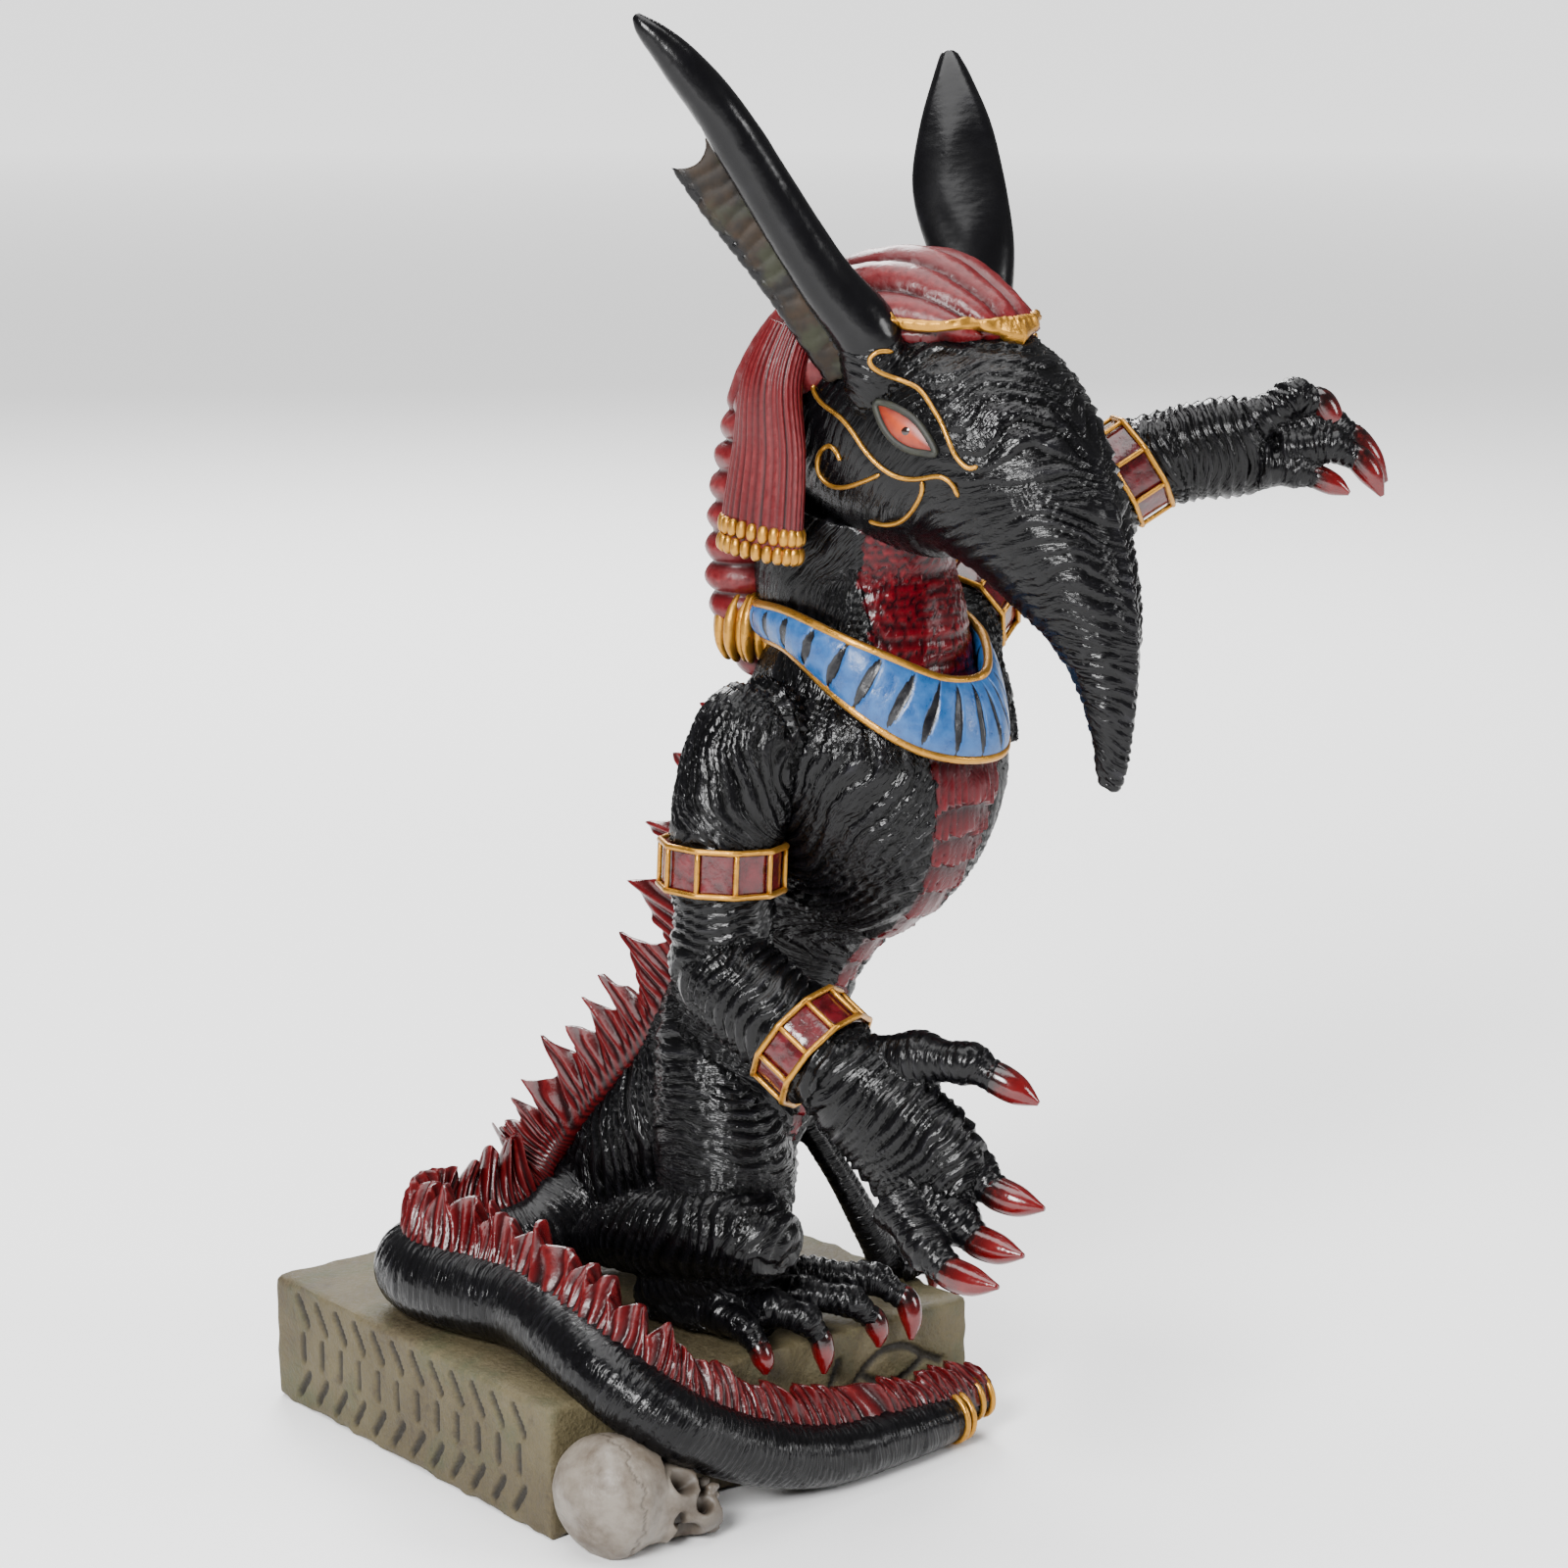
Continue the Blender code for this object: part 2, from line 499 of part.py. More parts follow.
def skull_forms(extra=0.0):
    """The skull's cranium, face and jaw, lying with its face along +X, as closed skins grown by extra."""
    bm = bmesh.new()
    more = extra / SKULL_RADIUS * SKULL_UNITS
    for stations in (CRANIUM, CHEEKS, JAW):
        grown = [(*station[:3], station[3] + more, station[4] + more) for station in stations]
        sweep(bm, grown, SAGITTAL, sides=16)
    across = SKULL_FROM_CORNER - PLINTH_WIDTH / 2
    middle = Vector((across, -PLINTH_DEPTH / 2 - SKULL_OUT, SKULL_RADIUS * 0.86))
    bm.transform(Matrix.Translation(middle) @ Matrix.Scale(SKULL_RADIUS / SKULL_UNITS, 4))
    return bm


def make_skull(name, made_of, extra=0.0):
    """The skull as one melted skin, cut flat where it meets the ground."""
    skull = mesh_object(name, skull_forms(extra), made_of)
    remesh = skull.modifiers.new("Skin", "REMESH")
    remesh.mode = "VOXEL"
    remesh.voxel_size = SKULL_RADIUS / 14
    evaluated_copy(skull)
    thin = skull.modifiers.new("Thin", "DECIMATE")
    thin.ratio = SKULL_TRIANGLES / sum(len(face.vertices) - 2 for face in skull.data.polygons)
    thin.use_collapse_triangulate = True
    evaluated_copy(skull)
    return skull


def groove(bm, points, face_point, across, up):
    """A closed cutter for a shallow groove through points, across and up from a place on a face."""
    stations = []
    for x, z in points:
        stations.append((*(face_point + across * x + up * z), STROKE_DEPTH, STROKE_WIDTH / 2))
    sweep(bm, stations, across.cross(up), sides=4, steps=1)


def side_strokes():
    """Plain rows of short strokes on the figure's right-hand face, all of a row at one slant."""
    bm = bmesh.new()
    face_point = Vector((-PLINTH_WIDTH / 2, PLINTH_DEPTH / 2, 0))
    margin = PLINTH_DEPTH * 0.07
    pitch = (PLINTH_DEPTH - 2 * margin) / SIDE_STROKES
    for row, slant in enumerate(SIDE_ROW_SLANTS):
        z = PLINTH_HEIGHT * (0.2 + 0.6 * row / (len(SIDE_ROW_SLANTS) - 1))
        tall = PLINTH_HEIGHT * 0.09
        for k in range(SIDE_STROKES):
            x = margin + pitch * (k + 0.5)
            reach = pitch * slant
            groove(bm, [(x - reach, z - tall), (x + reach, z + tall)], face_point, TOWARDS_FRONT, UPWARDS)
    return bm


def eye_strokes():
    """The eye motif cut into the front face: an almond open at its ends, and three tails beside it."""
    bm = bmesh.new()
    face_point = Vector((EYE_MIDDLE, -PLINTH_DEPTH / 2, PLINTH_HEIGHT * EYE_LEVEL))
    for lift in (EYE_RISE, -EYE_RISE):
        arc = []
        for k in range(9):
            share = 0.92 * (k / 4 - 1)
            arc.append((EYE_HALF_WIDTH * share, lift * (1 - share * share)))
        groove(bm, arc, face_point, TOWARDS_LEFT, UPWARDS)
    wide = EYE_HALF_WIDTH
    rise = EYE_RISE
    groove(bm, [(wide * 1.05, 0), (wide * 1.5, -rise * 0.5)], face_point, TOWARDS_LEFT, UPWARDS)
    groove(bm, [(-wide * 1.05, -rise * 0.1), (-wide * 1.5, -rise * 1.4)], face_point, TOWARDS_LEFT, UPWARDS)
    groove(bm, [(-wide * 1.7, rise), (-wide * 2.1, -rise * 1.2)], face_point, TOWARDS_LEFT, UPWARDS)
    return bm


def make_plinth(made_of):
    plinth = block(
        "plinth",
        (-PLINTH_WIDTH / 2, -PLINTH_DEPTH / 2, 0),
        (PLINTH_WIDTH / 2, PLINTH_DEPTH / 2, PLINTH_HEIGHT),
        made_of,
    )
    bevel = plinth.modifiers.new("Worn edges", "BEVEL")
    bevel.width = PLINTH_EDGE_WEAR
    bevel.segments = 2
    evaluated_copy(plinth)
    cut(plinth, cutter_of(mesh_object("side_strokes", side_strokes(), made_of)))
    cut(plinth, cutter_of(mesh_object("eye_strokes", eye_strokes(), made_of)))
    cut(plinth, cutter_of(make_skull("skull_form", made_of)), "UNION")
    ground = block("ground_cut", (-0.2, -0.2, -0.1), (0.2, 0.2, 0), made_of)
    cut(plinth, cutter_of(ground))
    evaluated_copy(plinth)
    return plinth


def main():
    for obj in list(bpy.data.objects):
        bpy.data.objects.remove(obj)
    black_resin = material("black_resin", (0.02, 0.02, 0.022), 0.35)
    stone_resin = material("stone_resin", (0.33, 0.29, 0.18), 0.7)
    make_figure(black_resin)
    make_plinth(stone_resin)


main()
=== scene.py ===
"""Looks of the seth statue: carved and painted skin, jewels and stone plinth, round the CAD frame."""

import math
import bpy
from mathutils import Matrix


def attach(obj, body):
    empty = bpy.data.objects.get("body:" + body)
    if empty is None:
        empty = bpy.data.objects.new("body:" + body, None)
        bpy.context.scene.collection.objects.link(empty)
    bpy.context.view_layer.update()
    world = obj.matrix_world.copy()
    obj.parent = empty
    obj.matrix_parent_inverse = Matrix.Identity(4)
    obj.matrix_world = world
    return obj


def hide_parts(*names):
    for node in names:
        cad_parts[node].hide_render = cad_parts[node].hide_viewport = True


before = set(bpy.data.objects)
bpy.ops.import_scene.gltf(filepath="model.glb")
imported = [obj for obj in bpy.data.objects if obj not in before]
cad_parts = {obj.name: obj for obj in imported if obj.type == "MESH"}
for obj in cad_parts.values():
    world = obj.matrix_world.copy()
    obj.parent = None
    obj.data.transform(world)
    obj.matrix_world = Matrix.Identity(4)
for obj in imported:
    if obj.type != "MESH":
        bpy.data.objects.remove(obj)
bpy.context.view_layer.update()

from types import SimpleNamespace

import bpy
import numpy as np
from mathutils import Matrix, Vector
from mathutils.bvhtree import BVHTree
from mathutils.kdtree import KDTree

# The photograph's camera. It takes the image to be 1600 x 1600.
IMAGE = 1600
CAMERA_AZIMUTH = math.radians(38)
CAMERA_ELEVATION = math.radians(12)
CAMERA_DISTANCE = 0.560
CAMERA_FOCAL = 4080
CAMERA_ACROSS = 0.0238
CAMERA_RISE = 0.0922
SENSOR = 36

# Plinth, skull and the figure's place, in metres, as the CAD has them.
PLINTH_WIDTH = 0.0726
PLINTH_DEPTH = 0.0698
PLINTH_HEIGHT = 0.0185
SKULL_RADIUS = 0.0082
SKULL_FROM_CORNER = 0.006
SKULL_OUT = 0.0066
SKULL_RISE = 0.86
FIGURE_HEIGHT = 0.1815
UNITS_HIGH = 181.5
FIGURE_TURN = math.radians(8)
FIGURE_FROM_FRONT = 0.0349
FIGURE_FROM_LEFT_FACE = 0.0303
UNIT = FIGURE_HEIGHT / UNITS_HIGH
LATERAL = (1, 0, 0)
SAGITTAL = (0, 1, 0)
IMAGE_ACROSS = (0.694, -0.72, 0)
UPWARDS = (0, 0, 1)
TOE_SIDE = (0.9, 0.4, 0)
FINGER_SIDE = (0.7, 0.2, 0.7)
RIGHT_PALM_SIDE = (0.2, -0.6, 0.77)
MIRROR = np.array([-1, 1, 1])

# The plinth's carving, in metres: worn edges, the strokes on its left face, and the eye on its front.
PLINTH_EDGE_WEAR = 0.0008
PLINTH_ROUGHNESS = 0.00016
CARVED_PITCH = 0.00042
PLAIN_PITCH = 0.0007
UNDERSIDE_PITCH = 0.002
CARVED_WITHIN = 0.0006
STROKE_WIDTH = 0.0008
STROKE_DEPTH = 0.0006
SIDE_STROKES = 12
SIDE_ROW_SLANTS = (0.25, 0, -0.25)
EYE_MIDDLE = 0.0225
EYE_LEVEL = 0.62
EYE_HALF_WIDTH = 0.0058
EYE_RISE = 0.0026
PLINTH_FACES = [
    (0, -1, CARVED_PITCH), (1, -1, CARVED_PITCH), (0, 1, PLAIN_PITCH), (1, 1, PLAIN_PITCH),
    (2, 1, PLAIN_PITCH), (2, -1, UNDERSIDE_PITCH),
]
EYE_TAILS = (((1.05, 0), (1.5, -0.5)), ((-1.05, -0.1), (-1.5, -1.4)), ((-1.7, 1), (-2.1, -1.2)))

# How finely the carved skins are made, in the figure's millimetres.
BODY_VOXEL = 0.54
ARM_VOXEL = 0.44
HEAD_VOXEL = 0.35
EAR_VOXEL = 0.37
TAIL_VOXEL = 0.5
HEADDRESS_VOXEL = 0.5
SKULL_VOXEL = 0.28
DIGIT_SIDES = 28

# How deep each skin is carved, and the distance from one lock, ring, scale or roll to the next.
HAIR_DEPTH = 0.75
HEAD_DEPTH = 1.0
EAR_DEPTH = 0.5
CLOTH_DEPTH = 1.7
LAPPET_DEPTH = 0.5
COLLAR_DEPTH = 0.35
TAIL_DEPTH = 0.4
SHIN_DEPTH = 0.4
SCALE_DEPTH = 0.3
PLATE_DEPTH = 1.15
TRUNK_LOCK = 1.9
LIMB_LOCK = 1.7
ARM_LOCK = 1.6
HEAD_LOCK = 1.55
BROW_LOCK = 1.5
LEG_RING = 1.5
TOE_RING = 1.3
FINGER_RING = 1.2
SNOUT_RING = 1.15
SHIN_RING = 0.95
TAIL_RING = 1.15
SCALE_SIZE = 1.35
RIB_PITCH = 1.15
THROAT_FROM = 88
DOME_STRIPES = 13
ROLL_PITCH = 4.1
CREASE_PITCH = 2.2

# Counts and radii of the applied parts, in the figure's millimetres.
LAPPET_RIBS = 30
LAPPET_BEADS = 22
TASSEL_FRONDS = 18
TASSEL_TOP = (0, -27.6, 104.4)
TASSEL_LENGTH = 9
TASSEL_REACH = (11, 6.6, 0)
COLLAR_STROKES = 25
COLLAR_THICKNESS = 1.4
COLLAR_WIRE = 0.62
BAND_WIRE = 0.42
BAND_BAR = 0.36
FACE_WIRE = 0.32
LID_WIRE = 0.5
PUPIL_PIXELS = 4.2
TAIL_WIRE = 0.5
TAIL_RING_GAP = 1.7
CREST_STEPS = 40
CREST_SPIKE = 8
CREST_ROOT = 8
CREST_RUFFLE = 4.4
CREST_RUFFLE_END = 4.0
CREST_LARGE_TO = 40
CREST_RUFFLE_TO = 80
PLEAT_PITCH = 1.2

# Stations of each form: x, y, z, half width along the form's side direction, and half
# thickness where it differs.
TRUNK = [
    (0, 9, 5, 8, 7), (0, 7, 9, 11, 10), (0, 0.5, 17, 10.6, 13), (0, -12.6, 29, 10, 14),
    (0, -20.5, 43, 10.3, 13.6), (0, -25, 56, 9.8, 14), (0, -31, 68, 12.8, 17), (0, -39, 78, 17.6, 20),
    (0, -41.5, 87, 18.6, 19.5), (0, -42, 94, 14.5, 15.5), (0, -42, 101, 12.6, 13.6),
    (0, -39.5, 108, 12.6, 14), (0, -41, 117, 12, 14),
]
HEAD = [
    (0, -30, 134, 5, 6), (0, -35, 132, 11, 12), (0, -45, 128.8, 14.5, 16.5), (0, -55, 127.5, 15.5, 16.5),
    (0, -63, 125.4, 14, 15.3), (0, -69.6, 120.4, 11.4, 12.8), (0, -75.4, 113.6, 9, 10),
    (0, -80.4, 106, 6, 6.8), (0, -82.8, 98.6, 3.8, 4.2), (0, -83.6, 92.1, 2.4, 2.7),
    (0, -83.6, 87.5, 1.7, 1.8), (0, -83.4, 85, 1),
]
HEADDRESS = [
    (0, -66, 136.5, 5, 3), (0, -62, 138.5, 9, 7.5), (0, -54, 138.4, 13, 12.2), (0, -43, 136.5, 14.5, 12.5),
    (0, -33.5, 130.5, 12.4, 10.6), (0, -28, 122, 11.5, 8), (0, -26, 114, 11.5, 6.8),
    (0, -25.6, 105, 11.5, 6.6), (0, -26.8, 98, 10, 5.6), (0, -29, 93.5, 7, 4), (0, -31, 91, 4, 2.5),
]
RIGHT_LAPPET = [
    (-14.5, -42, 141, 3.4, 2.6), (-16.7, -40.5, 134, 4.6, 2.8), (-17, -40.2, 125, 6, 2.6),
    (-17.5, -39.6, 117, 6.8, 2.6), (-17.6, -39.3, 113.2, 6.8, 2.6),
]
RIGHT_EAR_RIDGE = [
    (-11.2, -54.6, 134.5, 3.4), (-13.2, -53.8, 141, 4.2), (-17.2, -50, 148, 3.6), (-21.5, -45.2, 158, 3.4),
    (-24.4, -42.7, 164.2, 3.3), (-27.3, -40.8, 169.4, 3), (-29.5, -38.4, 173.4, 2.7),
    (-31.3, -36.7, 176.2, 2.2), (-33.3, -34.9, 178.8, 1.4), (-34.3, -34, 180.4, 0.5),
]
RIGHT_EAR_FLAP = [
    (-12.6, -49.4, 135.6, 2.6, 2.2), (-16, -47.4, 142.5, 3.4, 1.6), (-18, -44.5, 148.4, 4, 1.3),
    (-22.4, -38.8, 158.6, 4.7, 1.1), (-24.6, -35.7, 164.5, 4.9, 1),
]
# The notch torn out of the right ear: its middle, its way through the ear, and its radius.
EAR_NOTCH = ((-26.3, -33.9, 164.3), (-0.6, -0.58, 0.07), 3.2)
LEFT_EAR = [
    (10.5, -51.5, 143, 4.6, 3.6), (12, -49, 150, 5.7, 3), (14, -45, 157.5, 6.2, 2.5),
    (16.8, -41.8, 165, 4.9, 2.2), (19.5, -38.7, 171.2, 2.7, 1.7), (21.2, -36.6, 174.6, 1.2, 1),
]
RIGHT_ARM = [
    (-13, -40, 84, 7), (-17.6, -39, 87.5, 8.4, 8.2), (-21.2, -38.2, 81, 7.8), (-23.4, -38.1, 72, 7.2),
    (-23.6, -38.5, 64, 6.5, 6.6), (-24.2, -38.2, 58.6, 6.6, 6.8), (-24.4, -43, 55.4, 6.8, 7),
    (-22.5, -52, 49.8, 7, 6.8), (-21, -57, 46.5, 7.2, 6.4),
]
RIGHT_PALM = [
    (-21.6, -54.4, 48.6, 6.4, 6), (-20, -60.4, 43.6, 7.6, 5.4), (-18.8, -66.9, 38.8, 8.4, 4.8),
    (-18.4, -71.8, 34.8, 8.3, 4.6), (-19.2, -75.3, 31.6, 7, 4), (-19.6, -77, 30, 4, 2.2),
]
LEFT_ARM = [
    (14.8, -44.8, 82, 8.4), (14.8, -43.4, 88, 8.6), (17, -40.6, 94.6, 7.7), (23.4, -38.1, 99.8, 6.5),
    (30, -36.9, 103.4, 6.1), (37, -37.6, 104.8, 6.4), (43.6, -38.8, 106.4, 6.7), (49, -40.2, 111.4, 6.5),
    (54, -43, 116.4, 6.6, 6.4), (58, -46.5, 118.2, 6.8, 6),
]
LEFT_PALM = [
    (54, -43, 116.4, 6.4, 6), (60, -47.8, 118.6, 6.9, 5.6), (66, -53.2, 119.6, 7, 5.2),
    (70.2, -57.4, 120.8, 6.2, 4.6), (72, -59.2, 121, 3.4, 2.4),
]
RIGHT_THIGH = [
    (-5, -12.5, 46, 3, 3.5), (-6, -15, 40, 5, 6), (-6.5, -18.5, 32, 7.4, 9), (-6.5, -21, 25, 8.8, 10.3),
    (-7, -22.5, 19, 9, 10.2), (-8.5, -25, 14, 7, 8), (-9, -27, 10, 3.5, 4),
]
RIGHT_CALF = [
    (-8, 6, 6.6, 3.2, 3), (-11.5, -3, 9.6, 4.6, 4.2), (-13.2, -13, 13, 6.6, 6), (-12.6, -23, 15, 7, 6.8),
    (-11, -30.5, 15.7, 6.8, 6.7), (-9.8, -34.8, 14.8, 5, 5.4), (-9.5, -36.8, 14.2, 2.2, 2.6),
]
RIGHT_SHIN = [
    (-10.2, -31.5, 13.5, 4), (-12, -24, 9, 4), (-12, -16, 5.4, 4.4, 4), (-11, -13, 3.6, 4, 3.4),
]
RIGHT_FOOT = [
    (-11.5, -11, 3.2, 3.6, 3), (-10.5, -18, 3.8, 5.4, 3.8), (-8.6, -26, 3.8, 6.6, 3.4),
    (-7.4, -31, 3, 6, 2.8),
]
LEFT_THIGH = [
    (5, -1.5, 46, 3, 3.5), (6, -4, 40, 5, 6), (6.5, -7.5, 32, 7.4, 9), (7, -8.5, 25, 8.6, 10),
    (8.4, -8.8, 19, 8.4, 9.6), (9.6, -9.6, 14, 7, 8), (10, -10.6, 9.6, 4, 5),
]
LEFT_KNEE = [
    (8.4, -8.6, 20, 6.4), (10.2, -12.4, 25.4, 4.6), (11.4, -15.6, 28.2, 2.8),
]
LEFT_SHIN = [
    (11.2, -15.6, 28.6, 2.1), (14.4, -19.4, 21.5, 1.9), (17.8, -22.4, 13.7, 2.1), (21.1, -24.4, 6.2, 2.4),
    (22.9, -25.2, 2, 2.7, 2.5),
]
TAIL = [
    (0, 5, 12, 10), (-8, 8.5, 9.4, 8, 7.8), (-15, 9, 7.2, 6.8), (-21, 11.5, 6.5, 6.4), (-27, 15, 6.4, 6.3),
    (-32, 14.2, 6.4, 6.3), (-34.4, 8.6, 6.3, 6.2), (-33.8, 0, 6.1, 6.1), (-33.2, -9, 6, 5.8),
    (-36.2, -20.4, 5.4, 5.5), (-37.9, -30.6, 3, 5.3), (-35.6, -38.4, -1.4, 5), (-29, -40, -5.6, 4.8),
    (-20.2, -41.3, -9.9, 4.6), (-8.4, -42.4, -13.3, 4.4), (3, -43.2, -14, 4), (11.6, -43.6, -14.3, 3.6),
    (18, -43.8, -14.3, 3),
]
TAIL_PRONG = [
    (8, -42.6, -13.6, 3.3), (16, -42, -13.4, 3.1), (24, -42.6, -12.9, 2.9),
]
CREST_BASE = [
    (0, -20, 88), (0, -17.5, 79), (0, -14.5, 70), (-0.5, -12.5, 61), (-1.5, -9.5, 50), (-3, -5, 41),
    (-5, 1, 33), (-7, 7, 25.5), (-9, 10.5, 20), (-12, 11.5, 16), (-16, 11, 13.4), (-21.5, 12.6, 12.2),
    (-27, 15.4, 11.8), (-32, 14.2, 11.6), (-34.4, 8.6, 11.4), (-33.2, 0, 10.8), (-32.4, -9, 10.4),
    (-35, -20, 9.4), (-36.2, -30, 6.8), (-33.6, -36.8, 2.6), (-27.6, -38.4, -2), (-19.4, -39.6, -6.4),
    (-8, -40.6, -10), (3, -41.4, -11), (11, -41.8, -11.4), (18, -42.2, -11.2), (23.4, -42.4, -11),
]
CREST_HEIGHTS = [
    6, 11, 13, 13.5, 14, 12.4, 11, 10.4, 10, 9, 8.2, 7.5, 7, 7.2, 7.4, 7.2, 7, 6.6, 6.2, 6, 5.6, 5.4, 5, 4.8,
    4.4, 3.8, 2.4,
]
# Digits: the stations of the finger or toe, then the claw's tip.
RIGHT_HAND_DIGITS = [
    (
        [(-19, -58, 47.5, 4.4), (-17, -67, 49.6, 4), (-15, -74, 49.8, 3.5), (-14, -77.6, 48.4, 2.9)],
        (-12, -82.8, 45.7),
    ),
    ([(-17.5, -69, 38.4, 4), (-15.8, -75.6, 36, 3.7), (-15.6, -79, 34, 3)], (-14.4, -86, 33.1)),
    ([(-19.6, -71, 33.4, 4), (-20, -77, 30.4, 3.6), (-20, -80, 28.8, 2.9)], (-20, -87.4, 28.6)),
    ([(-23, -69, 32, 4), (-24.8, -75.6, 28, 3.6), (-25, -79.6, 25.8, 2.9)], (-25, -87.6, 25.8)),
]
LEFT_HAND_DIGITS = [
    ([(66, -55, 123, 3.8), (69.8, -58.8, 126.4, 3.5), (72.2, -61.6, 125.8, 2.8)], (73.4, -63.6, 120.4)),
    ([(69, -57, 121, 3.8), (73.4, -62, 122.6, 3.3), (75.8, -65, 120.6, 2.7)], (78.4, -68.8, 114.6)),
    ([(68, -58.6, 119, 3.6), (71.6, -63.8, 120, 3.1), (74, -67, 118.2, 2.6)], (75.6, -70.2, 113)),
    ([(65, -57, 117, 3.6), (68.4, -61, 116.4, 3), (70, -63, 115.6, 2.4)], (72.2, -67, 113.4)),
]
RIGHT_FOOT_DIGITS = [
    (
        [(-12.5, -21, 3.6, 3.4), (-13.4, -28, 4.4, 3.1), (-14, -32.6, 4, 2.8), (-13.6, -35, 1.4, 2.2)],
        (-13.9, -36.4, -1.9),
    ),
    (
        [(-8.5, -25, 4, 3.4), (-7.3, -31.5, 4.8, 3.1), (-5.5, -36, 3.8, 2.8), (-3.6, -37, 0.8, 2.2)],
        (-4, -38, -4),
    ),
    (
        [(-4, -23.5, 4.4, 3.4), (-0.6, -31, 5, 3.1), (3, -36.4, 4.4, 2.9), (5.8, -38.2, 1.6, 2.3)],
        (5.8, -39.2, -2.4),
    ),
    (
        [(-3, -21, 4.2, 3.4), (4.6, -26.6, 5.4, 3.2), (10.6, -34, 5.2, 3), (12.8, -38, 2.6, 2.4)],
        (12, -39.7, -2.8),
    ),
]
LEFT_FOOT_DIGITS = [
    ([(23.6, -26.4, 2.4, 2.6), (26.4, -23.4, 3, 2.2), (29, -22.2, 1.4, 1.8)], (29.8, -22, -3.4)),
    ([(24.4, -26.8, 2.4, 2.6), (27.6, -26.8, 3, 2.2), (30, -27, 1.4, 1.8)], (30.6, -27, -3.4)),
    ([(23.6, -27.4, 2.4, 2.6), (26.6, -30, 3, 2.2), (29.4, -31.4, 1.2, 1.8)], (30.2, -31.8, -3.4)),
]
# The skull's own forms, lying with the face along +X: one unit is a millimetre at an 8.2 mm cranium.
SKULL_UNITS = 8.2
CRANIUM = [
    (-8, 0, 0, 1.5), (-7, 0, 0.2, 4.6), (-3.4, 0, 0.4, 8), (0.6, -0.2, 0.2, 8.2, 8.1),
    (4.4, -0.8, -0.2, 6.2, 6.8),
]
CHEEKS = [(2, -1.6, -0.8, 6), (6.4, -2.4, -1.4, 4.8, 5.2), (9.6, -3, -1.8, 3.8, 4.4)]
JAW = [(4, -3.6, -3.6, 3.4, 2.6), (9.4, -4, -3.6, 3.6, 2.6), (12.6, -4.2, -3.2, 3, 2.6)]
# Arm bands: middle, axis, outer radius, half width.
BANDS = [
    ((-23.5, -38, 71.4), (0.06, 0, 1), 8.3, 2.9),
    ((-21.9, -52.6, 49.3), (0.14, -0.82, -0.56), 7.9, 2.7),
    ((23.6, -38, 99.9), (0.86, 0.24, 0.45), 7.4, 2.7),
    ((53.3, -42.3, 116.1), (0.7, -0.49, 0.53), 7.6, 2.6),
]

BAND_NAMES = ["right_upper_band", "right_wrist_band", "left_upper_band", "left_wrist_band"]
BAND_SIDES = [10, 10, 9, 8]
# Half the width of the red strip down the throat and belly, at each height, and the count of its plates.
PATCH_LEVELS = [4, 30, 50, 58, 66, 74, 84, 92, 100, 116]
PATCH_HALVES = [0.6, 1.0, 1.6, 2.4, 3.6, 5.0, 6.4, 8, 9.4, 9]
PLATE_LEVELS = [0, 78.5, 86, 96]
PLATE_COUNTS = [1 + 78.5 / 4, 1, 0, -1.3]
EYE_PLACE = np.array([-13.5, -60, 129.5])
# The swellings of the head that the ears grow out of.
EAR_STUBS = [
    [(-8, -53, 127, 3), (-10.6, -54.2, 132.5, 4.4, 4.6), (-12.2, -54.2, 138, 4.6), (-13.6, -53.4, 142, 3.4)],
    [(7, -52, 134, 3), (9.6, -51.8, 139, 5, 4.6), (11, -51, 145, 4.6, 3.4)],
]
# A bead's way along its axis and its radius, and a frond's share of the drop, its reach and its radius.
BEAD = [(-1.15, 0.25), (-0.95, 0.55), (-0.4, 0.74), (0.4, 0.76), (0.95, 0.58), (1.2, 0.25)]
TASSEL_PROFILE = [
    (0, 0.8, 0.4), (0.1, 0.9, 0.8), (0.35, 1.0, 1.15), (0.7, 1.02, 1.1), (0.93, 0.95, 0.75), (1, 0.9, 0.35),
]
# The collar's middle line, raised a little at its sides, and half its width along it.
COLLAR_LINE = [
    (0, -62.2, 90.8), (-8, -60.2, 92.2), (-14, -52.4, 97.2), (-14.4, -41.5, 101.4), (-9.4, -31.2, 101.4),
    (0, -28, 101.4), (9.4, -31.2, 101.4), (12.8, -42, 100.4), (11.2, -52, 96.2), (5.6, -59.6, 92.2),
]
COLLAR_HALF_WIDTHS = [5.2, 4.9, 3.8, 2.6, 2.2, 2.2, 2.2, 2.6, 3.8, 4.9]
# The crest's cross-section: how far up its height each row of points lies.
CREST_SHARES = np.array([-0.3, 0, 0.12, 0.26, 0.4, 0.55, 0.7, 0.84, 0.95, 1.0])
# Hollows in the skull, in its own units: place, radius, depth.
SKULL_HOLLOWS = [
    (7.4, -6.4, 3.0, 2.8, 3.0), (6.8, -6.2, -5.0, 2.7, 2.8), (9.8, -6.6, -1.2, 1.7, 2.2),
    (5.6, -6.8, -2.6, 1.4, 1.6), (11.6, -6.6, 2.6, 1.2, 1.0),
]
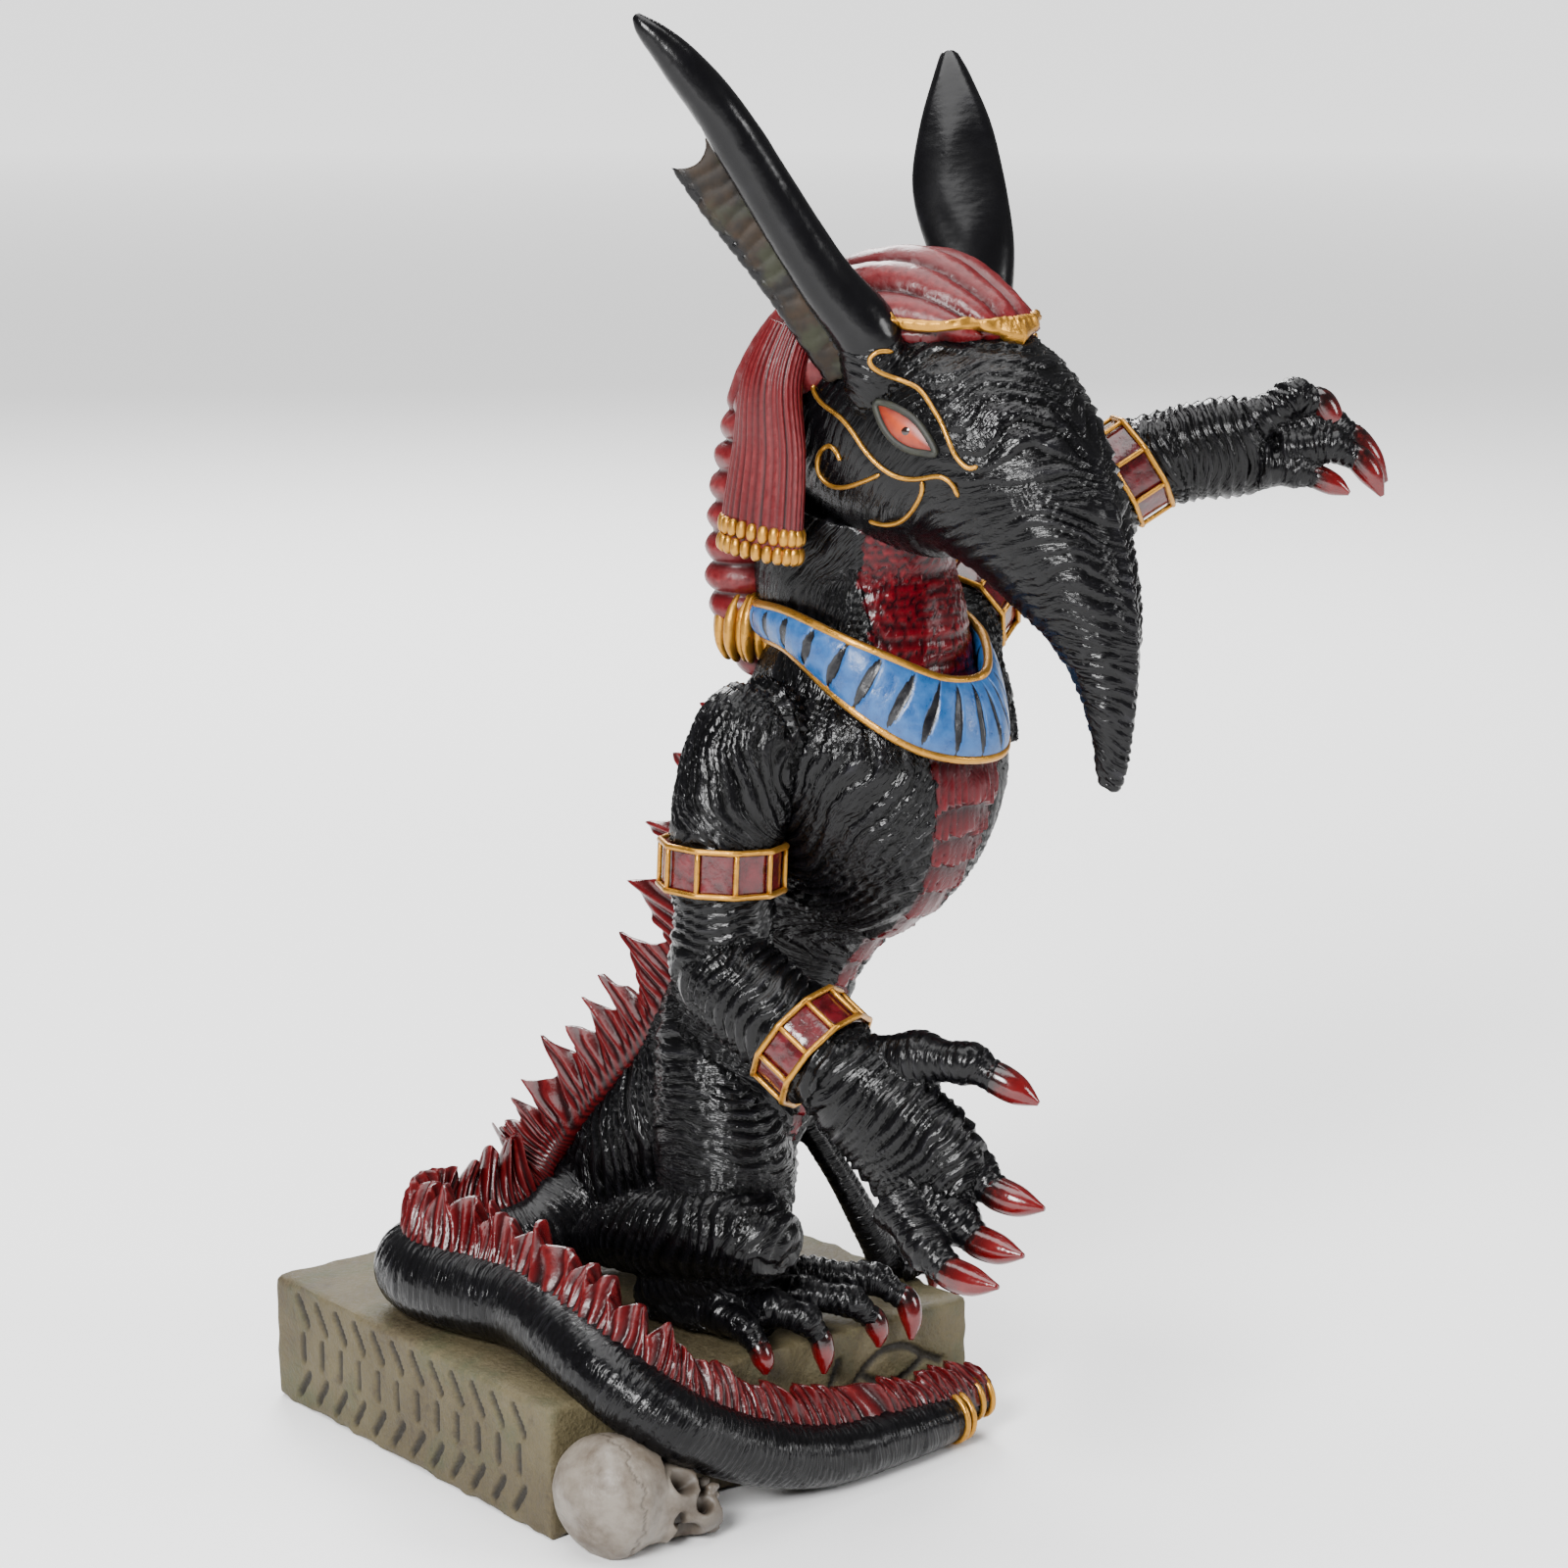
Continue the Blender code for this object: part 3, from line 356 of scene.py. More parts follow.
# Lines of the face and the headband, as places in the photograph, in its pixels.
BROW_LINE = [
    (911, 359), (895, 359), (887, 369), (898, 380), (919, 388), (938, 397), (951, 415), (962, 434),
    (969, 452), (977, 468), (988, 478), (998, 476),
]
CHEEK_LINE = [
    (835, 384), (830, 396), (838, 411), (858, 426), (871, 442), (883, 460), (898, 476), (914, 486),
    (930, 489), (943, 488), (959, 486), (972, 494), (978, 507),
]
BRANCH_LINE = [(941, 491), (941, 503), (930, 522), (917, 533), (901, 535), (887, 531)]
SPIRAL_LINE = [
    (898, 484), (882, 491), (863, 497), (847, 495), (836, 483), (835, 468), (840, 458), (848, 455),
    (855, 463), (858, 470),
]
EYE_OUTLINE = [
    (894, 412), (904, 412), (918, 418), (932, 427), (944, 441), (955, 462), (942, 462), (926, 458),
    (911, 448), (900, 432),
]
EYE_CENTRE = (924, 438)
PUPIL_CENTRE = (926, 440)
BAND_LOWER = [
    (896, 334), (908, 334), (925, 337), (947, 339), (975, 339), (998, 338), (1014, 344), (1026, 350),
    (1037, 354),
]
BAND_UPPER = [
    (898, 321), (910, 322), (927, 324), (949, 326), (975, 326), (998, 325), (1014, 323), (1026, 321),
    (1036, 320),
]

# The paints, in linear colour: in the hollows, on the surface, then on the ridges or in the mottling.
# BLACK: its hollow tone is painted shade in the grooves; its ridge tone is partly dry brush, partly painted
# highlight.
BLACK = ((0.0005, 0.0005, 0.0006), (0.0022, 0.0021, 0.0026), (0.014, 0.0135, 0.017))
# SCALE_RED: its hollow tone is painted shade between scales and plates; its ridge tone is partly dry brush,
# partly painted highlight.
SCALE_RED = ((0.01, 0.0004, 0.0014), (0.082, 0.001, 0.004), (0.15, 0.006, 0.01))
EAR_BROWN = ((0.003, 0.002, 0.0013), (0.02, 0.011, 0.0045), (0.017, 0.018, 0.009))
# CLOTH_RED and CREST_RED: the hollow tone is painted shade in the folds and pleats; the ridge tone is partly
# dry brush, partly painted highlight.
CLOTH_RED = ((0.012, 0.0006, 0.0012), (0.075, 0.0022, 0.004), (0.17, 0.018, 0.02))
CREST_RED = ((0.009, 0.0005, 0.0009), (0.062, 0.0018, 0.003), (0.145, 0.012, 0.012))
TUCKED_BLACK = (0.003, 0.003, 0.0035)
# GOLD: its first tone is painted shade on the inward sides of beads and fronds and on the headband's back; its
# last is the brush marks.
GOLD = ((0.035, 0.014, 0.002), (0.44, 0.21, 0.03), (0.16, 0.075, 0.015))
BLUE = ((0.002, 0.002, 0.004), (0.01, 0.056, 0.18), (0.019, 0.092, 0.26))
CLAW_RED = ((0.006, 0.001, 0.001), (0.09, 0.002, 0.003), (0.15, 0.008, 0.008))
JEWEL_RED = ((0.03, 0.001, 0.002), (0.1, 0.004, 0.008))
IRIS_RED = ((0.36, 0.04, 0.003), (0.085, 0.002, 0.001))
LID_OLIVE = ((0.002, 0.0024, 0.0014), (0.012, 0.013, 0.005))
PUPIL_BROWN = ((0.002, 0.001, 0.001), (0.02, 0.006, 0.003))
STONE = ((0.036, 0.025, 0.009), (0.075, 0.06, 0.026))
STONE_GREEN = (0.026, 0.036, 0.012)
STONE_STAIN = (0.018, 0.01, 0.004)
STONE_GRAIN = (0.125, 0.1, 0.05)
STONE_WASH = (0.006, 0.004, 0.002)
BONE = ((0.17, 0.147, 0.12), (0.075, 0.055, 0.037), (0.02, 0.012, 0.006))
PAPER = (0.9, 0.9, 0.9)

# The floor glows with distance, so that it stays pale behind the statue: from, to, in metres, and how much.
FLOOR_HALF = 20
GLOW_FROM = 0.35
GLOW_TO = 3.5
GLOW = 1.7
SKY = 0.18
# Lights: name, place, size, power, and where each is aimed.
LIGHTS = [
    ("key", (-0.8, -0.5, 0.62), 0.34, 23, (0, 0, 0.1)),
    ("rim", (0.45, 0.75, 0.7), 0.4, 12, (0, 0, 0.12)),
    ("fill", (0.55, -0.85, 0.45), 0.3, 5, (0, 0, 0.1)),
    ("top", (0, 0.1, 1.5), 1.4, 36, (0, 0.1, 0)),
]


def unit(vectors):
    return vectors / np.maximum(np.linalg.norm(vectors, axis=-1, keepdims=True), 1e-12)


def figure_frame():
    """From the figure's own units to the row frame, as the CAD has it."""
    across = PLINTH_WIDTH / 2 - FIGURE_FROM_LEFT_FACE
    stand = Vector((across, FIGURE_FROM_FRONT - PLINTH_DEPTH / 2, PLINTH_HEIGHT))
    return Matrix.Translation(stand) @ Matrix.Rotation(FIGURE_TURN, 4, "Z") @ Matrix.Scale(UNIT, 4)


FIGURE = figure_frame()


def catmull(a, b, c, d, t):
    """A point between b and c on the smooth curve through a, b, c and d, for numbers of any kind."""
    return [
        0.5 * (2 * q + (r - p) * t + (2 * p - 5 * q + 4 * r - s) * t * t + (3 * q - p - 3 * r + s) * t ** 3)
        for p, q, r, s in zip(a, b, c, d)
    ]


def smooth(stations, steps, closed=False):
    """Stations of any width, with steps samples a span on a smooth curve through them."""
    count = len(stations)
    samples = []
    for i in range(count if closed else count - 1):
        around = [i - 1, i, i + 1, i + 2]
        if closed:
            pick = [stations[k % count] for k in around]
        else:
            pick = [stations[min(max(k, 0), count - 1)] for k in around]
        samples += [catmull(*pick, step / steps) for step in range(steps)]
    if not closed:
        samples.append(list(stations[-1]))
    return np.array(samples, float)


def lattice(x, y, z, seed):
    """A repeatable number from -1 to 1 for each whole-number place."""
    mixed = (x * 374761393 + y * 668265263 + z * 1442695041 + seed * 974634777) & 0xFFFFFFFF
    mixed = ((mixed ^ (mixed >> 13)) * 1274126177) & 0xFFFFFFFF
    mixed = mixed ^ (mixed >> 16)
    return mixed / 2147483647.5 - 1


def noise(x, y, z, seed=0):
    """Smooth noise from -1 to 1."""
    place = np.stack(np.broadcast_arrays(x, y, z), -1).astype(float)
    base = np.floor(place).astype(np.int64)
    part = place - base
    part = part * part * (3 - 2 * part)
    total = 0
    for corner in np.ndindex(2, 2, 2):
        weight = 1
        for axis, step in enumerate(corner):
            weight = weight * (part[..., axis] if step else 1 - part[..., axis])
        total = total + weight * lattice(*np.moveaxis(base + corner, -1, 0), seed)
    return total


def ramp(value, low, high):
    """From 0 at low to 1 at high, smoothly."""
    share = np.clip((value - low) / (high - low), 0, 1)
    return share * share * (3 - 2 * share)


def folds(phase, sharpness=0.6):
    """Rounded folds with narrow grooves between them, one a unit of phase: 0 in a groove, 1 on a fold."""
    return np.abs(np.sin(np.pi * phase)) ** sharpness


def wrap(angle):
    return (angle + math.pi) % (2 * math.pi) - math.pi


def directions(path, closed):
    """The way that a path runs at each of its points."""
    ahead = np.roll(path, -1, 0)
    behind = np.roll(path, 1, 0)
    if not closed:
        ahead[-1] = path[-1]
        behind[0] = path[0]
    return unit(ahead - behind)


def swept(stations, side=LATERAL, steps=8, sides=48, closed=False, tag=""):
    """A form as rings of points round a smooth path, an ellipse at each, its width along side."""
    samples = smooth([(*s[:4], s[-1]) for s in stations], steps, closed)
    centre = samples[:, :3]
    along = directions(centre, closed)
    side = np.array(side, float)
    across = unit(side - along * (along @ side)[:, None])
    up = np.cross(along, across)
    turn = np.linspace(0, 2 * math.pi, sides, endpoint=False)
    cos = np.cos(turn)[None, :, None]
    sin = np.sin(turn)[None, :, None]
    wide = across[:, None] * cos * samples[:, 3, None, None]
    thick = up[:, None] * sin * samples[:, 4, None, None]
    steps_along = np.linalg.norm(np.diff(centre, axis=0), axis=1)
    return SimpleNamespace(
        points=centre[:, None] + (wide + thick),
        centre=centre,
        along=along,
        across=across,
        up=up,
        length=np.concatenate([[0], np.cumsum(steps_along)]),
        turn=turn,
        radius=(samples[:, 3] + samples[:, 4]) / 2,
        closed=closed,
        tag=tag,
    )


def tube(points, radii, sides=10, closed=False):
    """A tube of any path, turned with it."""
    points = np.asarray(points, float)
    along = directions(points, closed)
    side = np.array([0.31, 0.42, 0.85])
    frames = []
    for step in along:
        side = side - step * (side @ step)
        side = side / np.linalg.norm(side)
        frames.append(side)
    across = np.array(frames)
    up = np.cross(along, across)
    turn = np.linspace(0, 2 * math.pi, sides, endpoint=False)
    ring = across[:, None] * np.cos(turn)[None, :, None] + up[:, None] * np.sin(turn)[None, :, None]
    return points[:, None] + ring * np.broadcast_to(radii, len(points))[:, None, None]


def grid_faces(rows, columns, first=0, path_closed=False, caps=2, ring_closed=True):
    """The faces of a skin of rows x columns points. Of its two ends, caps says how many are closed."""
    faces = []
    for i in range(rows if path_closed else rows - 1):
        lower = first + i * columns
        upper = first + ((i + 1) % rows) * columns
        for k in range(columns if ring_closed else columns - 1):
            after = (k + 1) % columns
            faces.append((lower + k, lower + after, upper + after, upper + k))
    if caps and not path_closed:
        faces.append(tuple(first + k for k in reversed(range(columns))))
    if caps > 1 and not path_closed:
        faces.append(tuple(first + (rows - 1) * columns + k for k in range(columns)))
    return faces


def mesh_of(name, grids, caps=2):
    """One mesh from several skins, each (points, path closed)."""
    verts = []
    faces = []
    for points, closed in grids:
        rows, columns = points.shape[:2]
        faces += grid_faces(rows, columns, len(verts), closed, caps)
        verts += points.reshape(-1, 3).tolist()
    mesh = bpy.data.meshes.new(name)
    mesh.from_pydata(verts, [], faces)
    return mesh


def coordinates(mesh, what="co"):
    found = np.empty(len(mesh.vertices) * 3)
    mesh.vertices.foreach_get(what, found)
    return found.reshape(-1, 3)


def set_coordinates(mesh, points):
    mesh.vertices.foreach_set("co", np.ascontiguousarray(points, float).ravel())
    mesh.update()


def attribute(mesh, name, values):
    made = mesh.attributes.new(name, "FLOAT", "POINT")
    spread = np.broadcast_to(values, len(mesh.vertices))
    made.data.foreach_set("value", np.ascontiguousarray(spread, np.float32))


def linked(name, data):
    """A new object in the scene."""
    obj = bpy.data.objects.new(name, data)
    bpy.context.scene.collection.objects.link(obj)
    return obj


def piece(name, mesh, made_of, node="figure", place=FIGURE):
    """A mesh as a piece of the statue: in the row frame, riding on the CAD's body, in a node's stead."""
    mesh.transform(place)
    mesh.name = name
    mesh.shade_smooth()
    mesh.materials.clear()
    mesh.materials.append(made_of)
    obj = linked(name, mesh)
    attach(obj, "root")
    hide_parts(node)
    return obj


def grid_piece(name, grids, made_of, lifts=None, caps=2):
    """A piece straight from skins of points, with the lift of each point."""
    mesh = mesh_of(name, grids, caps)
    attribute(mesh, "lift", 0.8 if lifts is None else np.concatenate([lift.ravel() for lift in lifts]))
    return piece(name, mesh, made_of)


def melted(forms, voxel, soften=2, cutter=None):
    """The forms as one skin, less a cutter, and for each of its points where it lies on the nearest form."""
    obj = linked("forms", mesh_of("forms", [(form.points, form.closed) for form in forms]))
    remesh = obj.modifiers.new("Skin", "REMESH")
    remesh.mode = "VOXEL"
    remesh.voxel_size = voxel
    remesh.adaptivity = 0
    if cutter:
        bite = obj.modifiers.new("Bite", "BOOLEAN")
        bite.operation = "DIFFERENCE"
        bite.solver = "EXACT"
        bite.object = cutter
    soft = obj.modifiers.new("Soften", "SMOOTH")
    soft.factor = 0.5
    soft.iterations = soften
    depsgraph = bpy.context.evaluated_depsgraph_get()
    skin = bpy.data.meshes.new_from_object(obj.evaluated_get(depsgraph))
    bpy.data.objects.remove(obj)
    points = np.concatenate([form.points.reshape(-1, 3) for form in forms])
    tree = KDTree(len(points))
    for i, point in enumerate(points.tolist()):
        tree.insert(point, i)
    tree.balance()
    co = coordinates(skin)
    near = np.array([tree.find(point)[1] for point in co.tolist()])

    def nearest(what):
        """What the forms say of their rings, for the ring that each point of the skin is nearest to."""
        rows = [np.repeat(getattr(form, what), len(form.turn), 0) for form in forms]
        return np.concatenate(rows)[near]

    turn = np.concatenate([np.tile(form.turn, len(form.centre)) for form in forms])[near]
    tags = np.concatenate([np.repeat(form.tag, form.points[..., 0].size) for form in forms])
    offset = co - points[near]
    forward = nearest("along")
    radius = nearest("radius")
    sideways = unit(np.cross(forward, unit(points[near] - nearest("centre"))))
    at = SimpleNamespace(
        co=co,
        normal=coordinates(skin, "normal"),
        length=nearest("length") + (offset * forward).sum(1),
        turn=turn + (offset * sideways).sum(1) / np.maximum(radius, 0.5),
        radius=radius,
        tag=tags[near],
    )
    return skin, at


def pressed(at, bands):
    """The skin drawn in under arm bands, so that it stays inside them."""
    held = np.zeros(len(at.co), bool)
    for middle, axis, radius, half_width in bands:
        along = unit(np.array(axis, float))
        offset = at.co - np.array(middle)
        run = offset @ along
        out = offset - run[:, None] * along
        reach = np.linalg.norm(out, axis=1)
        near = (np.abs(run) < half_width + 0.1) & (reach < radius + 2.5)
        shrink = np.where(near, np.minimum(1, (radius - 1.3) / np.maximum(reach, 0.1)), 1)
        at.co += out * (shrink - 1)[:, None]
        held |= near
    return held


def rings(at, pitch, slant=0.0, front=math.pi / 2, warp=0.35, seed=0):
    """Skin folds that run round a form, pitch apart, slanting back from front, and broken here and there."""
    beta = np.abs(wrap(at.turn - front))
    broad = at.co / 7
    phase = (at.length - slant * at.radius * beta) / pitch
    phase = phase + warp * 2 * noise(*(broad * 2.2).T, seed) + warp * 3 * noise(*broad.T, seed + 1)
    broken = 0.62 + 0.38 * noise(*(at.co / 2.6).T, seed + 2)
    return folds(phase) * broken + (1 - broken) * 0.5


def flow(at, slant, front=math.pi / 2):
    """Places along and across the hair that follows a form, turned by slant from the form's length."""
    beta = wrap(at.turn - front)
    cross = at.radius * np.abs(beta)
    first = at.length * np.cos(slant) - cross * np.sin(slant)
    second = at.length * np.sin(slant) + cross * np.cos(slant)
    broad = at.co / 9
    return first, second + 1.5 * noise(*broad.T, 5) + 0.5 * noise(*(broad * 3).T, 6)


def combed(hair, pitch, seed=0, reach=6.0):
    """Hair in overlapping locks along a flow: each rises gently from its neighbour and drops at its edge."""
    first, second = hair
    phase = second / pitch + 0.9 * noise(first / reach, second / 5, 0, seed)
    share = phase % 1
    lock = share ** 0.9 * (1 - ramp(share, 0.78, 1)) * 1.3
    broken = 0.5 + 0.5 * noise(first / reach, np.floor(phase) * 1.7, 1.5, seed + 1)
    return np.clip(lock * (0.55 + 0.65 * broken), 0, 1)


def carve(skin, at, lift, depth, hair=None):
    """The skin moved along its normals by lift, from 0 to 1, times depth; the lift stays as an attribute."""
    set_coordinates(skin, at.co + at.normal * ((lift - 0.6) * depth)[:, None])
    attribute(skin, "lift", lift)
    if hair:
        attribute(skin, "along", hair[0])
        attribute(skin, "across", hair[1])


class Paint:
    """A painted material's node tree, with short ways to add and join its nodes."""

    def __init__(self, name, roughness, specular=0.5, metallic=0.0, coat=0.0, coat_roughness=0.2):
        self.material = bpy.data.materials.new(name)
        self.material.use_nodes = True
        self.tree = self.material.node_tree
        self.shader = self.tree.nodes["Principled BSDF"]
        self.shader.inputs["Roughness"].default_value = roughness
        self.shader.inputs["Specular IOR Level"].default_value = specular
        self.shader.inputs["Metallic"].default_value = metallic
        self.shader.inputs["Coat Weight"].default_value = coat
        self.shader.inputs["Coat Roughness"].default_value = coat_roughness
        self.where = self.tree.nodes.new("ShaderNodeTexCoord").outputs["Object"]

    def put(self, socket, value):
        if isinstance(value, bpy.types.NodeSocket):
            self.tree.links.new(value, socket)
        elif isinstance(value, tuple) and len(value) == 3 and socket.type == "RGBA":
            socket.default_value = (*value, 1)
        else:
            socket.default_value = value

    def node(self, kind, values):
        """A new node, its inputs set or joined."""
        made = self.tree.nodes.new("ShaderNode" + kind)
        for socket, value in values.items():
            self.put(made.inputs[socket], value)
        return made

    def noise(self, scale, detail=3.0, roughness=0.55, where=None):
        values = {"Vector": where or self.where, "Scale": scale, "Detail": detail, "Roughness": roughness}
        return self.node("TexNoise", values).outputs[0]

    def attribute(self, name):
        made = self.node("Attribute", {})
        made.attribute_name = name
        return made.outputs["Fac"]

    def between(self, value, low, high, from_value=0.0, to_value=1.0):
        """A value stretched so that low becomes from_value and high to_value, and held there."""
        return self.node("MapRange", {0: value, 1: low, 2: high, 3: from_value, 4: to_value}).outputs[0]

    def math(self, operation, a, b):
        made = self.node("Math", {0: a, 1: b})
        made.operation = operation
        return made.outputs[0]

    def times(self, a, b):
        return self.math("MULTIPLY", a, b)

    def plus(self, a, b):
        return self.math("ADD", a, b)

    def mix(self, factor, under, over):
        made = self.tree.nodes.new("ShaderNodeMix")
        made.data_type = "RGBA"
        for socket, value in ((0, factor), (6, under), (7, over)):
            self.put(made.inputs[socket], value)
        return made.outputs[2]

    def wash(self, under, over, value, low, high, least=0.0, most=1.0):
        """One colour under another, which comes in from least to most as value goes from low to high."""
        return self.mix(self.between(value, low, high, least, most), under, over)

    def bump(self, height, distance):
        made = self.node("Bump", {"Height": height, "Distance": distance, "Strength": 1.0})
        self.put(self.shader.inputs["Normal"], made.outputs[0])

    def finish(self, colour, roughness=None):
        self.put(self.shader.inputs["Base Color"], colour)
        if roughness is not None:
            self.put(self.shader.inputs["Roughness"], roughness)
        return self.material


def black_coat(name, hairy=1.0):
    """Black lacquer over combed hair, with painted shade darkening the grooves, its ridges lighter with a dull
    grey that is partly dry brush, partly painted highlight.
    """
    paint = Paint(name, 0.32, 0.24)
    lift = paint.attribute("lift")
    along = paint.times(paint.attribute("along"), 0.15)
    across = paint.times(paint.attribute("across"), 1.35)
    hair = paint.noise(1.0, 3, 0.6, paint.node("CombineXYZ", {0: along, 1: across}).outputs[0])
    broad = paint.noise(130)
    # The grey on the ridges: partly dry brush, partly a painted highlight.
    ridges = paint.times(paint.between(lift, 0.55, 1.0), paint.between(hair, 0.52, 0.68))
    ridges = paint.times(ridges, paint.between(broad, 0.35, 0.65, 0.2, 1.0))
    # Towards BLACK[0] in the grooves: painted shade.
    colour = paint.mix(ridges, paint.wash(BLACK[0], BLACK[1], lift, 0.2, 0.65), BLACK[2])
    height = paint.plus(paint.times(hair, 1.6), paint.times(paint.noise(900), 0.2))
    height = paint.times(height, paint.between(paint.attribute("patch"), -0.1, 0.1, 1.0, 0.25))
    paint.bump(height, 0.00028 * hairy)
    return paint, colour, paint.between(broad, 0.3, 0.7, 0.17, 0.3)


def black_lacquer():
    paint, colour, rough = black_coat("black_lacquer")
    return paint.finish(colour, rough)


def body_lacquer():
    """Black lacquer, with the red scales down the front where the patch attribute is above nought."""
    paint, colour, rough = black_coat("body_lacquer")
    lift = paint.attribute("lift")
    # The scales' red: painted shade in the grooves, then a paler tone on their tops, partly dry brush, partly
    # painted highlight.
    scale = paint.wash(SCALE_RED[0], SCALE_RED[1], lift, 0.1, 0.8)
    scale = paint.wash(scale, SCALE_RED[2], lift, 0.8, 1.0, 0, 0.5)
    ragged = paint.between(paint.noise(500), 0.3, 0.7, -0.5, 0.5)
    ragged = paint.plus(paint.attribute("patch"), ragged)
    return paint.finish(paint.wash(colour, scale, ragged, -0.12, 0.12), rough)


def ear_lacquer():
    """Black lacquer, with the right ear's worn brown hollow where the patch attribute is above nought."""
    paint, colour, rough = black_coat("ear_lacquer", 0.35)
    brown = paint.wash(EAR_BROWN[0], EAR_BROWN[1], paint.noise(330, 4), 0.35, 0.65)
    brown = paint.wash(brown, EAR_BROWN[2], paint.noise(210), 0.5, 0.64)
    ragged = paint.between(paint.noise(400), 0.3, 0.7, -0.35, 0.35)
    edge = paint.plus(paint.attribute("patch"), ragged)
    rough = paint.between(edge, -0.2, 0.3, rough, 0.6)
    return paint.finish(paint.wash(colour, brown, edge, -0.2, 0.3), rough)


def red_lacquer(name, tones, roughness):
    """Red paint: painted shade deep in the grooves, and a paler tone on the ridges, partly dry brush, partly
    painted highlight.
    """
    paint = Paint(name, roughness, 0.35)
    lift = paint.attribute("lift")
    fine = paint.noise(1100)
    broad = paint.noise(170)
    # The paler tone on the ridges: partly dry brush, partly a painted highlight.
    ridges = paint.times(paint.between(lift, 0.6, 1.0), paint.between(fine, 0.36, 0.64))
    ridges = paint.times(ridges, paint.between(broad, 0.3, 0.7, 0.35, 1.0))
    # Towards the deep tone in the grooves: painted shade.
    colour = paint.mix(ridges, paint.wash(tones[0], tones[1], lift, 0.12, 0.62), tones[2])
    colour = paint.wash(colour, TUCKED_BLACK, paint.attribute("patch"), 0.3, 0.6)
    paint.bump(fine, 0.00008)
    return paint.finish(colour, paint.between(broad, 0.3, 0.7, roughness - 0.06, roughness + 0.12))


def brushed_gold():
    """Gold paint, dark brown where the lift attribute is low, which is painted shade on the inward sides of
    beads and fronds and on the headband's hidden back, with fine brush marks.
    """
    paint = Paint("gold_paint", 0.34, metallic=0.85)
    fine = paint.noise(1300, 4)
    colour = paint.wash(GOLD[0], GOLD[1], paint.attribute("lift"), 0.1, 0.75)
    colour = paint.wash(colour, GOLD[2], fine, 0.56, 0.75, 0, 0.6)
    paint.bump(fine, 0.0001)
    return paint.finish(colour, paint.between(paint.noise(420), 0.3, 0.7, 0.24, 0.48))


def blue_enamel():
    paint = Paint("blue_enamel", 0.34)
    mottle = paint.noise(620, 4)
    blue = paint.wash(BLUE[1], BLUE[2], mottle, 0.35, 0.65)
    paint.bump(mottle, 0.00015)
    colour = paint.wash(BLUE[0], blue, paint.attribute("lift"), 0.3, 0.42)
    return paint.finish(colour, paint.between(mottle, 0.3, 0.7, 0.24, 0.46))


def claw_lacquer():
    """Dark red, glossy, nearly black at the root."""
    paint = Paint("claw_lacquer", 0.18, coat=0.2, coat_roughness=0.08)
    colour = paint.wash(CLAW_RED[0], CLAW_RED[1], paint.attribute("lift"), 0.0, 0.45)
    paint.bump(paint.noise(420), 0.00012)
    return paint.finish(paint.wash(colour, CLAW_RED[2], paint.noise(700), 0.5, 0.75, 0, 0.5))


def jewel_red():
    paint = Paint("jewel_red", 0.22, coat=0.15, coat_roughness=0.1)
    mottle = paint.noise(520)
    paint.bump(mottle, 0.00015)
    return paint.finish(paint.wash(*JEWEL_RED, mottle, 0.35, 0.68))


def eye_paint():
    """The iris: orange-red in the middle, where the lift attribute is 0, and darker towards its rim."""
    paint = Paint("eye_paint", 0.42)
    streaks = paint.between(paint.noise(900), 0.3, 0.7, -0.12, 0.12)
    return paint.finish(paint.wash(*IRIS_RED, paint.plus(paint.attribute("lift"), streaks), 0.1, 0.95))


def lid_paint():
    paint = Paint("lid_paint", 0.6)
    return paint.finish(paint.wash(*LID_OLIVE, paint.noise(700, 4), 0.35, 0.65))


def pupil_paint():
    paint = Paint("pupil_paint", 0.1, coat=0.6)
    return paint.finish(paint.wash(*PUPIL_BROWN, paint.noise(900, 2), 0.3, 0.7))


def stone_paint():
    """Cast stone: greenish beige with a brown wash that gathers in the hollows."""
    paint = Paint("plinth_stone", 0.72)
    patch = paint.noise(120, 5, 0.6)
    grain = paint.noise(1500, 4)
    colour = paint.wash(*STONE, paint.noise(46, 5, 0.6), 0.38, 0.62)
    colour = paint.wash(colour, STONE_GREEN, patch, 0.52, 0.72, 0, 0.75)
    colour = paint.wash(colour, STONE_STAIN, paint.noise(210, 4, 0.7), 0.58, 0.72, 0, 0.8)
    colour = paint.wash(colour, STONE_GRAIN, grain, 0.35, 0.7, 0, 0.35)
    colour = paint.wash(colour, STONE_WASH, paint.attribute("lift"), 0.15, 0.8, 0.9, 0)
    paint.bump(paint.plus(grain, paint.times(patch, 1.6)), 0.00025)
    return paint.finish(colour, paint.between(grain, 0.3, 0.7, 0.6, 0.82))


def bone_paint():
    """Old bone: grey ivory with a brown wash in the sutures and sockets."""
    paint = Paint("skull_bone", 0.5)
    stain = paint.noise(190, 5, 0.65)
    colour = paint.wash(BONE[0], BONE[1], stain, 0.4, 0.66)
    colour = paint.wash(colour, BONE[2], paint.attribute("lift"), 0.1, 0.95, 0.97, 0)
    paint.bump(paint.noise(900, 4), 0.0001)
    return paint.finish(colour, paint.between(stain, 0.3, 0.7, 0.36, 0.6))


def claw_of(stations, tip):
    """The claw that grows out of a digit's end, as its stations."""
    root = Vector(stations[-1][:3])
    inside = Vector(stations[-2][:3]).lerp(root, 0.55)
    end = Vector(tip)
    bulge = root.lerp(end, 0.45) + (root - inside).normalized() * 0.5
    width = stations[-1][3]
    return [(*inside, width * 0.54), (*root, width * 0.74), (*bulge, width * 0.64), (*end, 0.34)]


